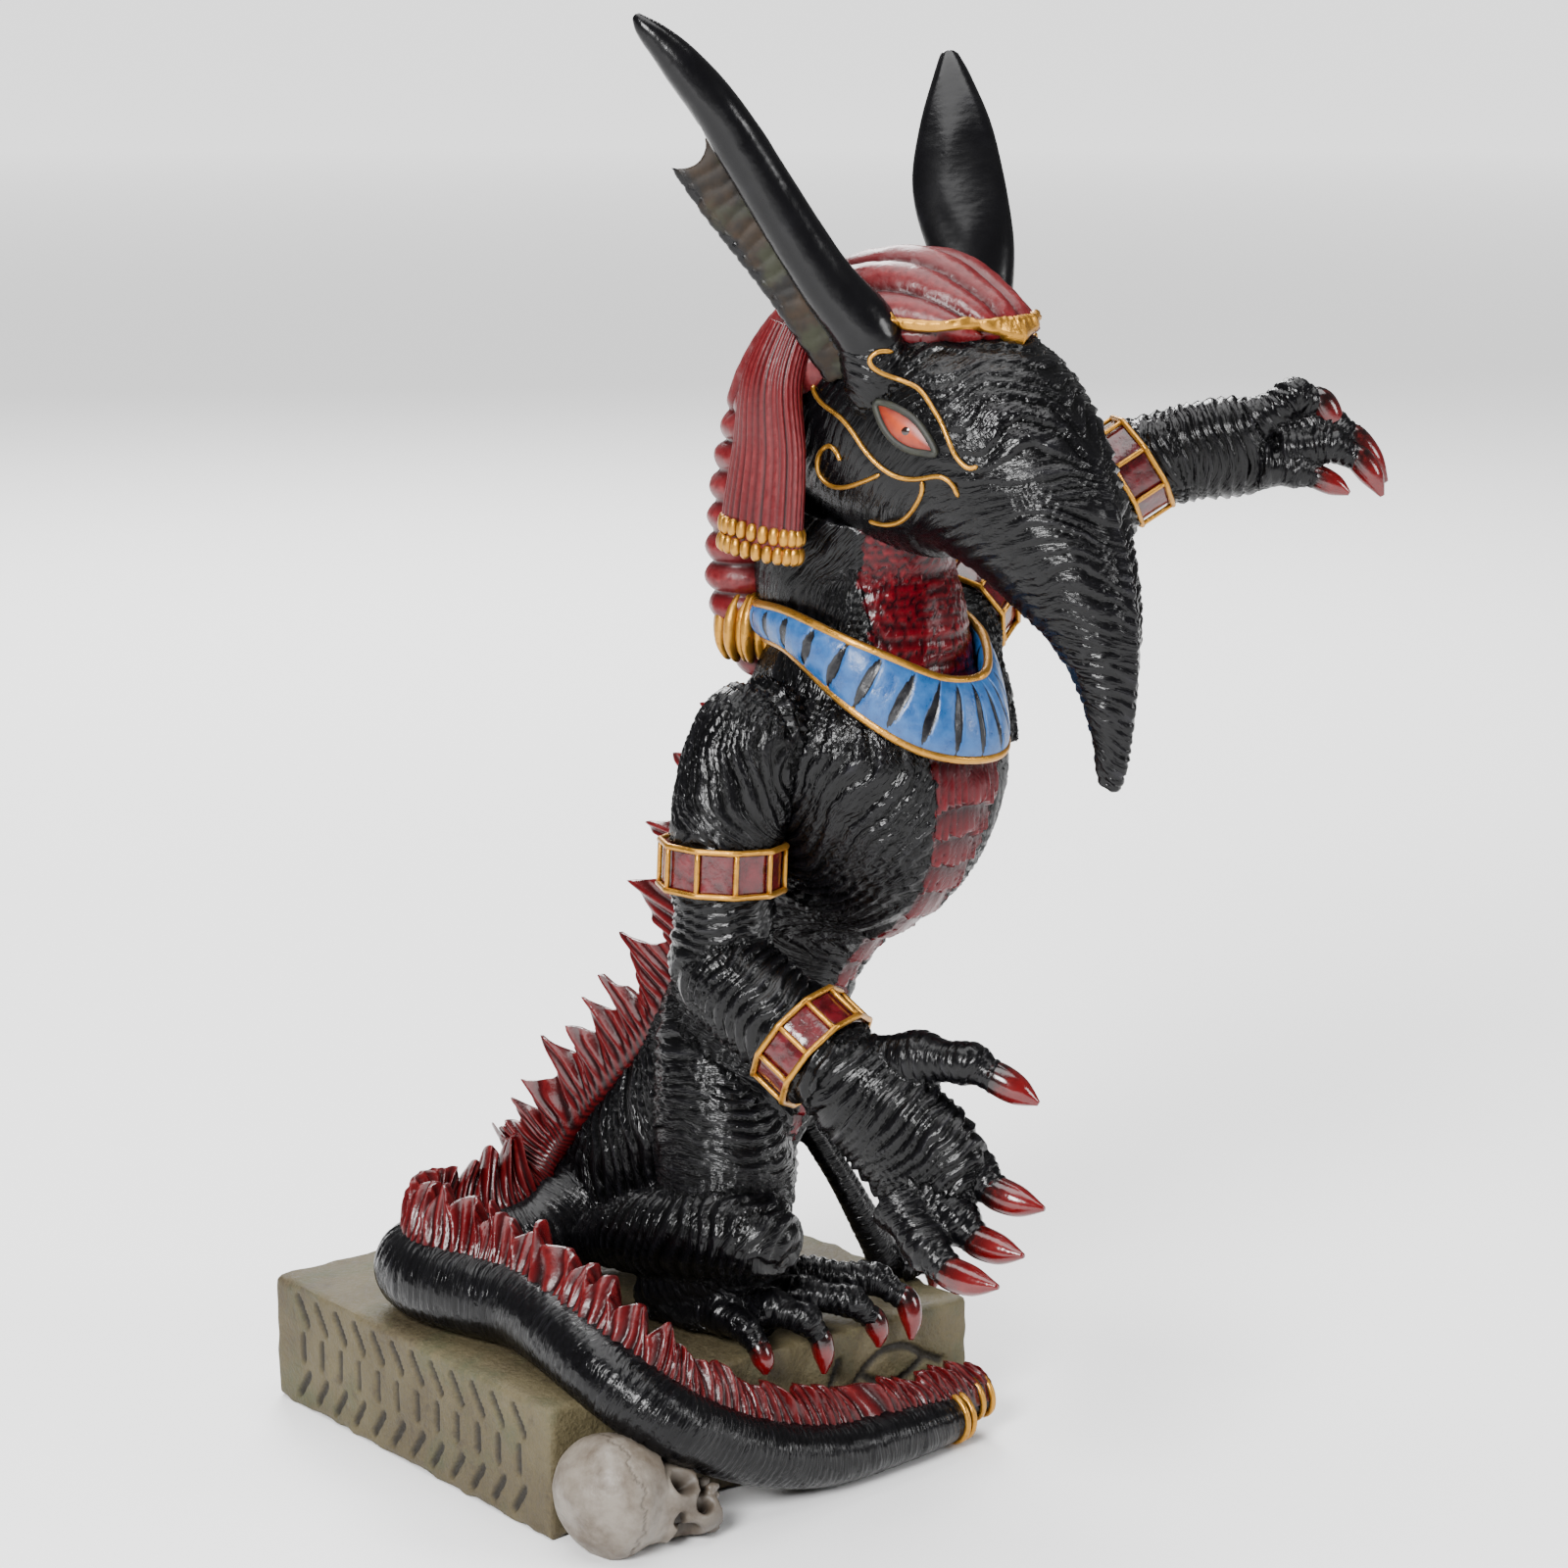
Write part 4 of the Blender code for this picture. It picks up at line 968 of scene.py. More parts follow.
def knuckled(stations):
    """A digit's stations, slimmer towards its end, with a swelling at each joint."""
    count = len(stations)
    made = []
    for i, (x, y, z, radius) in enumerate(stations):
        size = radius * (0.98 - 0.26 * i / (count - 1))
        made.append((x, y, z, size))
        if i < count - 1:
            after = stations[i + 1]
            middle = [(a + b) / 2 for a, b in zip((x, y, z), after[:3])]
            made.append((*middle, (size + after[3] * 0.8) / 2 * 0.84))
    return made


def digit_forms(digits, side, tag):
    """Fingers or toes as forms, without their claws."""
    return [swept(knuckled(stations), side, sides=DIGIT_SIDES, tag=tag) for stations, _ in digits]


def front_scales(at):
    """The strip down the throat and belly: how far inside it each point lies, and its scales and plates."""
    x, _, z = at.co.T
    half = np.interp(z, PATCH_LEVELS, PATCH_HALVES)
    ahead = (at.tag == "trunk") & (np.abs(wrap(at.turn + math.pi / 2)) < 1.5)
    patch = np.minimum(np.where(ahead, half - np.abs(x), -6), z - 6)
    row = at.length / (SCALE_SIZE * 0.8)
    bow = (x / SCALE_SIZE + 0.5 * (np.floor(row) % 2)) % 1 - 0.5
    tile = (row + 1.1 * bow * bow) % 1
    scales = np.clip(1 - tile, 0, 1) * (1 - ramp(np.abs(bow), 0.38, 0.5) * 0.8)
    ribs = folds(x / RIB_PITCH + 0.5 + 0.15 * noise(x / 2, z / 6, 0, 65), 0.6)
    level = np.interp(z, PLATE_LEVELS, PLATE_COUNTS)
    fall = (level + 0.1 * ribs + 0.12 * noise(x / 1.2, z / 3, 0, 67)) % 1
    plates = (0.1 + 0.9 * fall) * (0.45 + 0.55 * ribs)
    return patch, np.where(z > THROAT_FROM, scales, plates)


def make_body(made_of):
    """The trunk and the legs: combed hair, ringed shins, feet and toes, and the red scales down the front."""
    forms = [
        swept(TRUNK, steps=12, sides=72, tag="trunk"),
        swept(RIGHT_THIGH, tag="thigh"),
        swept(RIGHT_CALF, tag="calf"),
        swept(RIGHT_SHIN, tag="limb"),
        swept(RIGHT_FOOT, tag="foot"),
        swept(LEFT_THIGH, tag="thigh"),
        swept(LEFT_KNEE, tag="calf"),
        swept(LEFT_SHIN, sides=24, tag="rod"),
        *digit_forms(RIGHT_FOOT_DIGITS + LEFT_FOOT_DIGITS, TOE_SIDE, "toe"),
    ]
    skin, at = melted(forms, BODY_VOXEL)
    height = at.co[:, 2]
    trunk = at.tag == "trunk"
    rod = at.tag == "rod"
    low = ramp(height, 36, 60)
    slant = np.where(trunk, 0.6 * low + 1.9 * (1 - low), 1.3)
    slant = np.where(np.isin(at.tag, ["limb", "foot", "toe", "rod"]), 1.5, slant)
    hair = flow(at, slant, np.where(trunk, -math.pi / 2, math.pi / 2))
    lift = combed(hair, np.where(trunk, TRUNK_LOCK, LIMB_LOCK), 11)
    lift = np.where(np.isin(at.tag, ["limb", "foot"]), rings(at, LEG_RING, 0.3, seed=41), lift)
    lift = np.where(at.tag == "toe", rings(at, TOE_RING, 0.2, seed=51), lift)
    lift = np.where(rod, rings(at, SHIN_RING, 0, warp=0.05, seed=61), lift)
    patch, scales = front_scales(at)
    inside = ramp(patch, -0.3, 0.3)
    lift = lift * (1 - inside) + scales * inside
    depth = np.where(height > THROAT_FROM, SCALE_DEPTH, HAIR_DEPTH + (PLATE_DEPTH - HAIR_DEPTH) * inside)
    carve(skin, at, lift, np.where(rod, SHIN_DEPTH, depth), hair)
    attribute(skin, "patch", patch)
    piece("body", skin, made_of)


def short_palm(palm):
    """The palm ended short of its knuckles, so that the fingers part from one another."""
    x, y, z, wide, thick = palm[-2]
    between = [(a + b) / 2 for a, b in zip(palm[-3][:3], (x, y, z))]
    return [*palm[:-2], (*between, wide * 0.8, thick * 0.8), (x, y, z, wide * 0.4, thick * 0.5)]


def make_arm(name, made_of, arm, side, palm, palm_side, digits, bands, seed):
    forms = [
        swept(arm, side, 10, tag="arm"),
        swept(short_palm(palm), palm_side, 10, 40, tag="palm"),
        *digit_forms(digits, FINGER_SIDE, "finger"),
    ]
    skin, at = melted(forms, ARM_VOXEL)
    held = pressed(at, bands)
    upper = 1 - ramp(at.length, 16, 26)
    slant = np.where(at.tag == "arm", 0.5 * upper + 1.75 * (1 - upper), 1.45)
    hair = flow(at, slant, 0.8)
    lift = combed(hair, ARM_LOCK, seed)
    lift = np.where(at.tag == "finger", rings(at, FINGER_RING, 0.1, 0.8, 0.3, seed + 7), lift)
    carve(skin, at, np.where(held, 0.6, lift), HAIR_DEPTH, hair)
    piece(name, skin, made_of)


def make_head(made_of):
    """The head: combed brow, wrinkles closer together at the nose, a keel down the snout, smooth sockets
    darkened with painted shade.
    """
    forms = [swept(HEAD, steps=14, sides=80, tag="head")]
    forms += [swept(stub, IMAGE_ACROSS, sides=32, tag="stub") for stub in EAR_STUBS]
    skin, at = melted(forms, HEAD_VOXEL)
    beta = wrap(at.turn - math.pi / 2)
    head = at.tag == "head"
    snout = ramp(at.length, 26, 40)
    far = ramp(at.length, 50, 66)
    hair = flow(at, 1.17)
    wrinkles = 0.7 * combed(hair, HEAD_LOCK, 71, 9.0) + 0.3 * rings(at, HEAD_LOCK, -0.42, warp=0.4, seed=73)
    tight = rings(at, SNOUT_RING, -0.3, warp=0.2, seed=77)
    wrinkles = wrinkles * (1 - 0.5 * far) + tight * 0.5 * far
    brow = combed(flow(at, 1.05), BROW_LOCK, 75)
    lift = np.where(head, wrinkles * snout + (0.6 * brow + 0.2) * (1 - snout), 0.4 + 0.3 * brow)
    top = np.where(head, ramp(1.5 - np.abs(beta), 0, 0.6), 1)
    lift = 0.5 + (lift - 0.5) * (0.3 + 0.7 * np.maximum(top, far))
    # Round each eye the carving is smoothed and sunk, and its lift lowered so that the black is darker there:
    # painted shade in the socket.
    for eye in (EYE_PLACE, EYE_PLACE * MIRROR):
        shade = 1 - ramp(np.linalg.norm((at.co - eye) * [0.4, 1, 1.15], axis=1), 4.5, 7.5)
        lift = lift * (1 - shade) + 0.3 * shade
    keel = np.exp(-((beta * at.radius / 0.9) ** 2)) * ramp(at.length, 38, 52) * head
    carve(skin, at, np.clip(lift + 0.8 * keel, 0, 1.5), HEAD_DEPTH, hair)
    return piece("head", skin, made_of)


def make_right_ear(made_of):
    """The long right ear: a thick outer ridge, a thin creased flap, and the notch torn out of its edge."""
    forms = [
        swept(RIGHT_EAR_RIDGE, IMAGE_ACROSS, sides=40, tag="ridge"),
        swept(RIGHT_EAR_FLAP, IMAGE_ACROSS, sides=40, tag="flap"),
    ]
    middle, axis, radius = EAR_NOTCH
    path = np.array(middle) + 8 * unit(np.array(axis, float)) * np.linspace(-1, 1, 5)[:, None]
    bore = linked("bore", mesh_of("bore", [(tube(path, radius, 24), False)]))
    skin, at = melted(forms, EAR_VOXEL, cutter=bore)
    bpy.data.objects.remove(bore)
    broad = at.co / 3
    creases = folds(at.length / CREASE_PITCH + 0.4 * noise(*broad.T, 81), 0.35)
    flap = at.tag == "flap"
    lift = np.where(flap, 0.3 + 0.6 * creases, 0.62 + 0.06 * noise(*(broad * 2).T, 83))
    carve(skin, at, lift, EAR_DEPTH, (at.length, at.turn * at.radius * 0.15))
    inside = np.minimum(np.cos(at.turn) + 0.8, 0.5) * 2
    attribute(skin, "patch", np.where(flap & (at.normal[:, 1] < 0.35), inside, -1.0))
    piece("right_ear", skin, made_of)


def make_left_ear(made_of):
    skin, at = melted([swept(LEFT_EAR, IMAGE_ACROSS, tag="ear")], EAR_VOXEL)
    lift = 0.62 + 0.08 * noise(*(at.co / 2.4 * [1, 1, 0.3]).T, 87)
    carve(skin, at, lift, EAR_DEPTH, (at.length, at.turn * at.radius * 0.08))
    attribute(skin, "patch", -1.0)
    piece("left_ear", skin, made_of)


def make_headdress(made_of):
    """The cloth's dome with its fat stripes, and the rolled queue that hangs behind the neck."""
    skin, at = melted([swept(HEADDRESS, steps=14, sides=96, tag="dome")], HEADDRESS_VOXEL)
    height = at.co[:, 2]
    beta = wrap(at.turn - math.pi / 2)
    stripes = folds(beta * DOME_STRIPES / (2 * math.pi) + 0.02 * at.length, 0.6)
    rolls = folds((height - 96) / ROLL_PITCH, 0.7)
    queue = ramp(132 - height, 0, 6)
    lift = stripes * (1 - queue) + rolls * queue
    lift = lift * 0.88 + 0.12 * (0.5 + 0.5 * noise(*(at.co / 1.3).T, 91))
    tucked = ramp(140.9 - height, 0, 1.2) * ramp(-at.co[:, 1], 44, 50)
    at.co -= unit(at.co - [0, -50, 131]) * (tucked * 4.5)[:, None]
    carve(skin, at, lift * (1 - tucked), CLOTH_DEPTH)
    attribute(skin, "patch", tucked)
    return piece("headdress", skin, made_of)


def make_lappet(name, side, made_of, gold):
    """The pleated lappet in front of the ear, and the two rows of beads at its hem."""
    form = swept([(side * x, *rest) for x, *rest in RIGHT_LAPPET], SAGITTAL, 26, 110)
    outward = unit(form.points - form.centre[:, None])
    ribs = folds(form.turn * LAPPET_RIBS / (2 * math.pi), 0.7)
    wave = noise(form.length[:, None] / 9, form.turn[None] * 3, 2.5 * side, 95)
    lift = np.clip(ribs[None] * 0.85 + 0.2 * wave, 0, 1)
    points = form.points + outward * ((lift - 0.6) * LAPPET_DEPTH)[..., None]
    grid_piece(name, [(points, False)], made_of, [lift])
    hem = form.centre[-1]
    down = form.along[-1]
    beads = []
    lifts = []
    for row, drop in enumerate((-0.6, 1.8)):
        for k in range(LAPPET_BEADS):
            angle = 2 * math.pi * (k + 0.5 * row) / LAPPET_BEADS
            out = form.across[-1] * math.cos(angle) * 6.5 + form.up[-1] * math.sin(angle) * 2.7
            middle = hem + down * (drop - 1.2) + out
            bead = swept([(*(middle + down * t), r) for t, r in BEAD], form.across[-1], 3, 10)
            beads.append((bead.points, False))
            # The bead's side that faces the hem gets a low lift: painted shade in the gold.
            reach = ((bead.points - hem) @ unit(out)) / np.linalg.norm(out)
            lifts.append(np.clip(reach - 0.35, 0, 1))
    grid_piece(name + "_beads", beads, gold, lifts)


def make_tassel(gold):
    """The gold tassel that ends the queue: a ring of fronds, spread a little at their ends."""
    fronds = []
    lifts = []
    for row in range(2):
        for k in range(TASSEL_FRONDS):
            turn = 2 * math.pi * (k + 0.5 * row) / TASSEL_FRONDS
            way = np.array([math.cos(turn), math.sin(turn), 0])
            path = []
            for share, reach, size in TASSEL_PROFILE:
                spot = np.array(TASSEL_TOP) - [0, 0, TASSEL_LENGTH * share]
                spot = spot + way * TASSEL_REACH * (reach - 0.05 * row)
                path.append((*spot, size * (1 - 0.25 * row), size * 0.8))
            frond = swept(path, way, 5, 14)
            fronds.append((frond.points, False))
            # The frond's side that faces the tassel's core gets a low lift: painted shade in the gold.
            lifts.append(np.clip(0.25 + 0.6 * ((frond.points - frond.centre[:, None]) @ way), 0, 1))
    grid_piece("queue_tassel", fronds, gold, lifts)


def make_collar(blue, gold):
    """The broad collar: a blue band crossed by black strokes, with a gold wire along each edge."""
    stations = [(*point, half, COLLAR_THICKNESS) for point, half in zip(COLLAR_LINE, COLLAR_HALF_WIDTHS)]
    form = swept(stations, (0, 0.3, 1), 48, 40, True)
    share = np.linspace(0, 1, len(form.centre), endpoint=False)[:, None]
    away = np.abs((share * COLLAR_STROKES) % 1 - 0.5) * 4
    away = away + 0.12 * noise(share * 90, form.turn[None] * 2, 0, 97)
    lens = 0.75 * np.clip(1 - 1.15 * np.cos(form.turn[None]) ** 2, 0.02, 1) ** 0.6
    lift = ramp(away, lens * 0.75, lens * 1.1)
    outward = unit(form.points - form.centre[:, None])
    points = form.points + outward * ((lift - 1) * COLLAR_DEPTH)[..., None]
    grid_piece("collar", [(points, True)], blue, [lift])
    reach = ((form.points[:, 0] - form.centre) * form.across).sum(1)[:, None]
    edges = [form.centre + form.across * reach * edge for edge in (1, -1)]
    grid_piece("collar_rims", [(tube(edge, COLLAR_WIRE, closed=True), True) for edge in edges], gold)


def make_band(name, sides, middle, axis, radius, half_width, gold, red):
    """An arm band of flat red panels in a gold frame."""
    along = unit(np.array(axis, float))
    side = unit(np.cross(along, [0.3, 0.2, 0.93]))
    up = np.cross(along, side)

    def spot(share, angle, reach):
        """A place on the band: its share of half the width, its angle, and its distance from the axis."""
        out = side * math.cos(angle) + up * math.sin(angle)
        return np.array(middle) + along * half_width * share + out * reach

    corners = [2 * math.pi * k / sides for k in range(sides)]
    bars = []
    for share in (-1, 1):
        ring = [spot(share, angle, radius) for angle in corners]
        fine = [np.linspace(a, b, 6, endpoint=False) for a, b in zip(ring, ring[1:] + ring[:1])]
        bars.append((tube(np.concatenate(fine), BAND_WIRE, closed=True), True))
    for angle in corners:
        ends = [spot(share, angle, radius - 0.1) for share in (-1, 1)]
        bars.append((tube(np.linspace(*ends, 5), BAND_BAR, 8), False))
    panels = []
    for share in (-0.98, -0.8, -0.4, 0, 0.4, 0.8, 0.98):
        ring = []
        for k in range(sides * 6):
            angle = 2 * math.pi * k / (sides * 6)
            folded = (angle % (2 * math.pi / sides)) - math.pi / sides
            reach = (radius - 0.3) * math.cos(math.pi / sides) / math.cos(folded)
            if abs(share) < 0.9 and 1 - abs(folded) * sides / math.pi < 0.12:
                reach -= 0.3
            ring.append(spot(share, angle, reach))
        panels.append(ring)
    grid_piece(name, [(np.array(panels), False)], red)
    grid_piece(name + "_frame", bars, gold)


def make_claws(made_of):
    hands = [(digit, FINGER_SIDE) for digit in RIGHT_HAND_DIGITS + LEFT_HAND_DIGITS]
    feet = [(digit, TOE_SIDE) for digit in RIGHT_FOOT_DIGITS + LEFT_FOOT_DIGITS]
    claws = []
    lifts = []
    for digit, side in hands + feet:
        form = swept(claw_of(*digit), side, sides=24)
        claws.append((form.points, False))
        lifts.append(np.repeat(np.linspace(-0.6, 1, len(form.centre))[:, None], len(form.turn), 1))
    grid_piece("claws", claws, made_of, lifts)


def make_crest(made_of):
    """The fin along the spine and the tail: large pleated spikes on the back, then a ragged ruffle."""
    base = smooth([(*point, height) for point, height in zip(CREST_BASE, CREST_HEIGHTS)], CREST_STEPS)
    along = unit(np.gradient(base[:, :3], axis=0))
    on_back = np.clip((base[:, 2] - 14) / 8, 0, 1)
    back = on_back[:, None]
    outward = unit(np.array([0, 1, 0.25]) * back + np.array([0.25, 0.1, 1]) * (1 - back))
    outward = unit(outward - along * (along * outward).sum(1)[:, None])
    sideways = np.cross(along, outward)
    place = np.arange(len(base)) / CREST_STEPS * CREST_SPIKE
    place = place + np.where(place > CREST_LARGE_TO, 1.3, 0.4) * noise(place / 5, 0, 0, 103)
    large = place < CREST_LARGE_TO
    ruffle = place < CREST_RUFFLE_TO
    share_in = (place / np.where(large, CREST_SPIKE, np.where(ruffle, CREST_RUFFLE, CREST_RUFFLE_END))) % 1
    tip = np.where(large, 0.42, 0.4)
    up = np.clip(share_in / tip, 0, 1) ** 1.7
    down = np.clip((1 - share_in) / (1 - tip), 0, 1) ** 1.15
    shape = np.where(share_in < tip, up, down) * on_back + folds(share_in, 0.55) * (1 - on_back)
    least = np.where(large, 0.32, np.where(ruffle, 0.6, 0.66))
    ragged = 1 + np.where(large, 0.08, 0.2) * noise(place / 1.7, 0, 0, 101)
    height = base[:, 3] * (least + (1 - least) * shape) * ragged
    points = []
    lifts = []
    for side in (1, -1):
        for share in CREST_SHARES[::side]:
            out = max(share, 0)
            warp = 3.2 * share + 1.2 * noise(place / 2, share * 2, side, 107)
            ridge = 0.5 + 0.5 * np.sin(2 * math.pi * (place / PLEAT_PITCH + 0.25 * side) + warp)
            thick = (1.7 + 0.5 * (1 - on_back)) * (1 - share) ** 0.7 + 0.36
            rise = share * (height if share > 0 else CREST_ROOT)
            lean = (0.08 * on_back - 0.3 * out * (1 - on_back)) * height * out
            wave = 1.3 * np.sin(2 * math.pi * share_in + 0.6 + 1.5 * out) * np.where(large, 0.3, 0.85) * out
            wave += 0.7 * noise(place / 1.3, 2 * out, 0, 105) * out
            offset = side * (thick + 0.6 * (ridge - 0.5) * (share > 0)) + wave
            moves = zip((outward, along, sideways), (rise, lean, offset))
            points.append(base[:, :3] + sum(way * np.reshape(far, (-1, 1)) for way, far in moves))
            # This lift only colours the crest: low at its root and in the pleats' valleys, where the red takes
            # its painted shade, and high on the pleats' ridges, where it takes the painted highlight.
            lifts.append(np.clip(ridge * 0.75 + 0.3 * out, 0, 1))
    grid_piece("crest", [(np.array(points).transpose(1, 0, 2), False)], made_of, [np.array(lifts).T])


def make_tail(made_of, gold):
    """The forked tail with its skin rings, and two gold rings near each of its ends."""
    forms = [swept(TAIL, UPWARDS, 12, tag="tail"), swept(TAIL_PRONG, UPWARDS, sides=32, tag="prong")]
    skin, at = melted(forms, TAIL_VOXEL)
    carve(skin, at, rings(at, TAIL_RING, 0, warp=0.06, seed=111), TAIL_DEPTH, flow(at, 1.57))
    piece("tail", skin, made_of)
    ends = []
    for stations, back in ((TAIL, 0.6), (TAIL_PRONG, 0.8)):
        form = swept(stations, UPWARDS, 12, 32)
        for share in (back, back + TAIL_RING_GAP):
            i = int(np.argmin(np.abs(form.length - (form.length[-1] - share))))
            ring = form.centre[i] + (form.points[i] - form.centre[i]) * 1.06
            ends.append((tube(ring, TAIL_WIRE, 8, True), True))
    grid_piece("tail_rings", ends, gold)


def camera_frame():
    """The camera's place and its three directions in the row frame."""
    look = Vector((
        math.sin(CAMERA_AZIMUTH) * math.cos(CAMERA_ELEVATION),
        math.cos(CAMERA_AZIMUTH) * math.cos(CAMERA_ELEVATION),
        -math.sin(CAMERA_ELEVATION),
    ))
    across = Vector((math.cos(CAMERA_AZIMUTH), -math.sin(CAMERA_AZIMUTH), 0))
    up = across.cross(look)
    place = across * CAMERA_ACROSS + Vector((0, 0, CAMERA_RISE)) - look * CAMERA_DISTANCE
    return place, across, up, look


def on_skin(tree, pixels):
    """Where the photograph's pixels fall on a skin, in the figure's units, with the skin's normal there."""
    place, across, up, look = camera_frame()
    back = FIGURE.inverted()
    found = []
    for px, py in pixels:
        ray = look + across * ((px - IMAGE / 2) / CAMERA_FOCAL) + up * ((IMAGE / 2 - py) / CAMERA_FOCAL)
        hit, normal, *_ = tree.ray_cast(back @ place, (back.to_3x3() @ ray).normalized())
        if hit is not None:
            found.append((np.array(hit), np.array(normal)))
    return found


def tree_of(*objects):
    """The objects' surfaces as one search tree, in the figure's units."""
    verts = []
    polygons = []
    back = FIGURE.inverted()
    for obj in objects:
        first = len(verts)
        verts += [back @ vert.co for vert in obj.data.vertices]
        polygons += [tuple(first + i for i in polygon.vertices) for polygon in obj.data.polygons]
    return BVHTree.FromPolygons(verts, polygons)


def line_on(tree, pixels):
    """A raised line that follows pixels over a skin, and its mirror image on the other side."""
    points = np.array([hit + normal * FACE_WIRE * 0.3 for hit, normal in on_skin(tree, smooth(pixels, 6))])
    for _ in range(3):
        points[1:-1] = (points[:-2] + 2 * points[1:-1] + points[2:]) / 4
    radii = np.full(len(points), FACE_WIRE)
    radii[[0, -1]] *= 0.35
    radii[[1, -2]] *= 0.8
    return [(tube(points * side, radii, 8), False) for side in (1, MIRROR)]


def patch_on(tree, centre, outline, rings_out, bulge, rim):
    """A domed patch over a skin and its mirror image, as rings from near the centre out to the outline."""
    edge = smooth(outline, 5, True)
    rows = []
    for share in np.linspace(0, 1, rings_out + 1):
        spread = share or 0.02
        found = on_skin(tree, np.array(centre) * (1 - spread) + edge * spread)
        rise = bulge * (1 - share * share) + rim
        rows.append([hit + normal * rise for hit, normal in found])
    count = min(len(row) for row in rows)
    points = np.array([row[:count] for row in rows])
    return [(points, False), (points[:, ::-1] * MIRROR, False)]


def make_face(head, gold, eye, lid, pupil):
    """The eyes, and the gold lines painted round them, on both sides of the head."""
    tree = tree_of(head)
    lines = []
    for pixels in (BROW_LINE, CHEEK_LINE, BRANCH_LINE, SPIRAL_LINE):
        lines += line_on(tree, pixels)
    grid_piece("face_lines", lines, gold)
    eyes = patch_on(tree, EYE_CENTRE, EYE_OUTLINE, 10, 0.5, 0.12)
    near_eye = eyes[0][0]
    lift = np.repeat(np.linspace(0, 1, len(near_eye))[:, None], near_eye.shape[1], 1)
    grid_piece("eyes", eyes, eye, [lift, lift], 1)
    rims = [(tube(near_eye[-1] * side, LID_WIRE, 8, True), True) for side in (1, MIRROR)]
    grid_piece("eyelids", rims, lid)
    turn = np.linspace(0, 2 * math.pi, 8, endpoint=False)
    outline = np.array(PUPIL_CENTRE) + PUPIL_PIXELS * np.stack([np.cos(turn), np.sin(turn)], 1)
    grid_piece("pupils", patch_on(tree, PUPIL_CENTRE, outline, 3, 0.12, 0.6), pupil, caps=1)


def make_headband(head, headdress, gold):
    """The gold band across the brow, dipping to a point over the snout, with small lumps along its top."""
    tree = tree_of(head, headdress)
    lower = smooth(BAND_LOWER, 10)
    upper = smooth(BAND_UPPER, 10)
    levels = np.linspace(0, 1, 7)
    rows = [[hit for hit, _ in on_skin(tree, lower * (1 - share) + upper * share)] for share in levels]
    count = min(len(row) for row in rows)
    sheet = np.array([row[:count] for row in rows])
    closing = ramp(np.linspace(0, 1, count)[None, :, None], 0.8, 1)
    sheet = sheet * (1 - closing) + sheet * [0, 1, 1] * closing
    for _ in range(12):
        sheet[:, 1:-1] = (sheet[:, :-2] + 2 * sheet[:, 1:-1] + sheet[:, 2:]) / 4
        sheet[1:-1] = (sheet[:-2] + 2 * sheet[1:-1] + sheet[2:]) / 4
    sheet = np.concatenate([sheet, sheet[:, -2::-1] * MIRROR], 1)
    outward = unit(np.cross(np.gradient(sheet, axis=1), np.gradient(sheet, axis=0)))
    outward *= np.sign((outward * (sheet - [0, -50, 128])).sum(-1))[..., None]
    lumps = np.abs(np.sin(np.arange(sheet.shape[1]) * 0.55))[None] * levels[:, None] ** 2
    profile = np.array([-0.8, 0.75, 0.95, 0.85, 0.95, 0.8, -0.8])[:, None]
    front = sheet + outward * (profile + 0.35 * lumps)[..., None]
    back = sheet - outward * 1.2
    skin = np.concatenate([front, back[::-1]]).transpose(1, 0, 2)
    # The band's back, against the skin, gets a low lift: painted shade in the gold.
    lift = np.concatenate([0.75 + 0.25 * lumps, np.full(lumps.shape, 0.2)]).T
    grid_piece("headband", [(skin, False)], gold, [lift])


def plinth_sides(half):
    """The block's six sides, as one array of points and one list of faces, finer where they are carved."""
    points = []
    faces = []
    for axis, sign, pitch in PLINTH_FACES:
        first = (axis + 1) % 3
        second = (axis + 2) % 3
        columns = max(int(2 * half[first] / pitch), 8) + 1
        rows = max(int(2 * half[second] / pitch), 8) + 1
        grid = np.empty((rows, columns, 3))
        grid[..., axis] = sign * half[axis]
        grid[..., first] = half[first] * np.linspace(-1, 1, columns)
        grid[..., second] = half[second] * np.linspace(-1, 1, rows)[:, None]
        faces += grid_faces(rows, columns, len(points), caps=0, ring_closed=False)
        points += grid[:, ::sign].reshape(-1, 3).tolist()
    return np.array(points), faces


def make_plinth(made_of):
    """The block: worn edges, uneven faces, and the rows of strokes and the eye cut into its sides."""
    half = np.array([PLINTH_WIDTH / 2, PLINTH_DEPTH / 2, PLINTH_HEIGHT / 2])
    points, faces = plinth_sides(half)
    wear = PLINTH_EDGE_WEAR * (1.15 + 0.9 * noise(*(points * 420).T, 121))[:, None]
    inner = np.clip(points, wear - half, half - wear)
    outward = unit(points - inner)
    points = inner + outward * wear
    points[:, 2] += half[2]
    cut, lift = strokes_at(points)
    broad = points * 190
    rough = noise(*broad.T, 123) + 0.5 * noise(*(broad * 3).T, 124)
    level = np.where(points[:, 2] > PLINTH_HEIGHT * 0.99, 0.3, 1) * (points[:, 2] > 0.001)
    points = points + outward * (rough * PLINTH_ROUGHNESS * level - cut)[:, None]
    points[:, 2] = np.clip(points[:, 2], 0, PLINTH_HEIGHT)
    mesh = bpy.data.meshes.new("plinth_block")
    mesh.from_pydata(points.tolist(), [], faces)
    attribute(mesh, "lift", np.clip(lift + 0.1 * rough, 0, 1))
    piece("plinth_block", mesh, made_of, "plinth", Matrix.Identity(4))


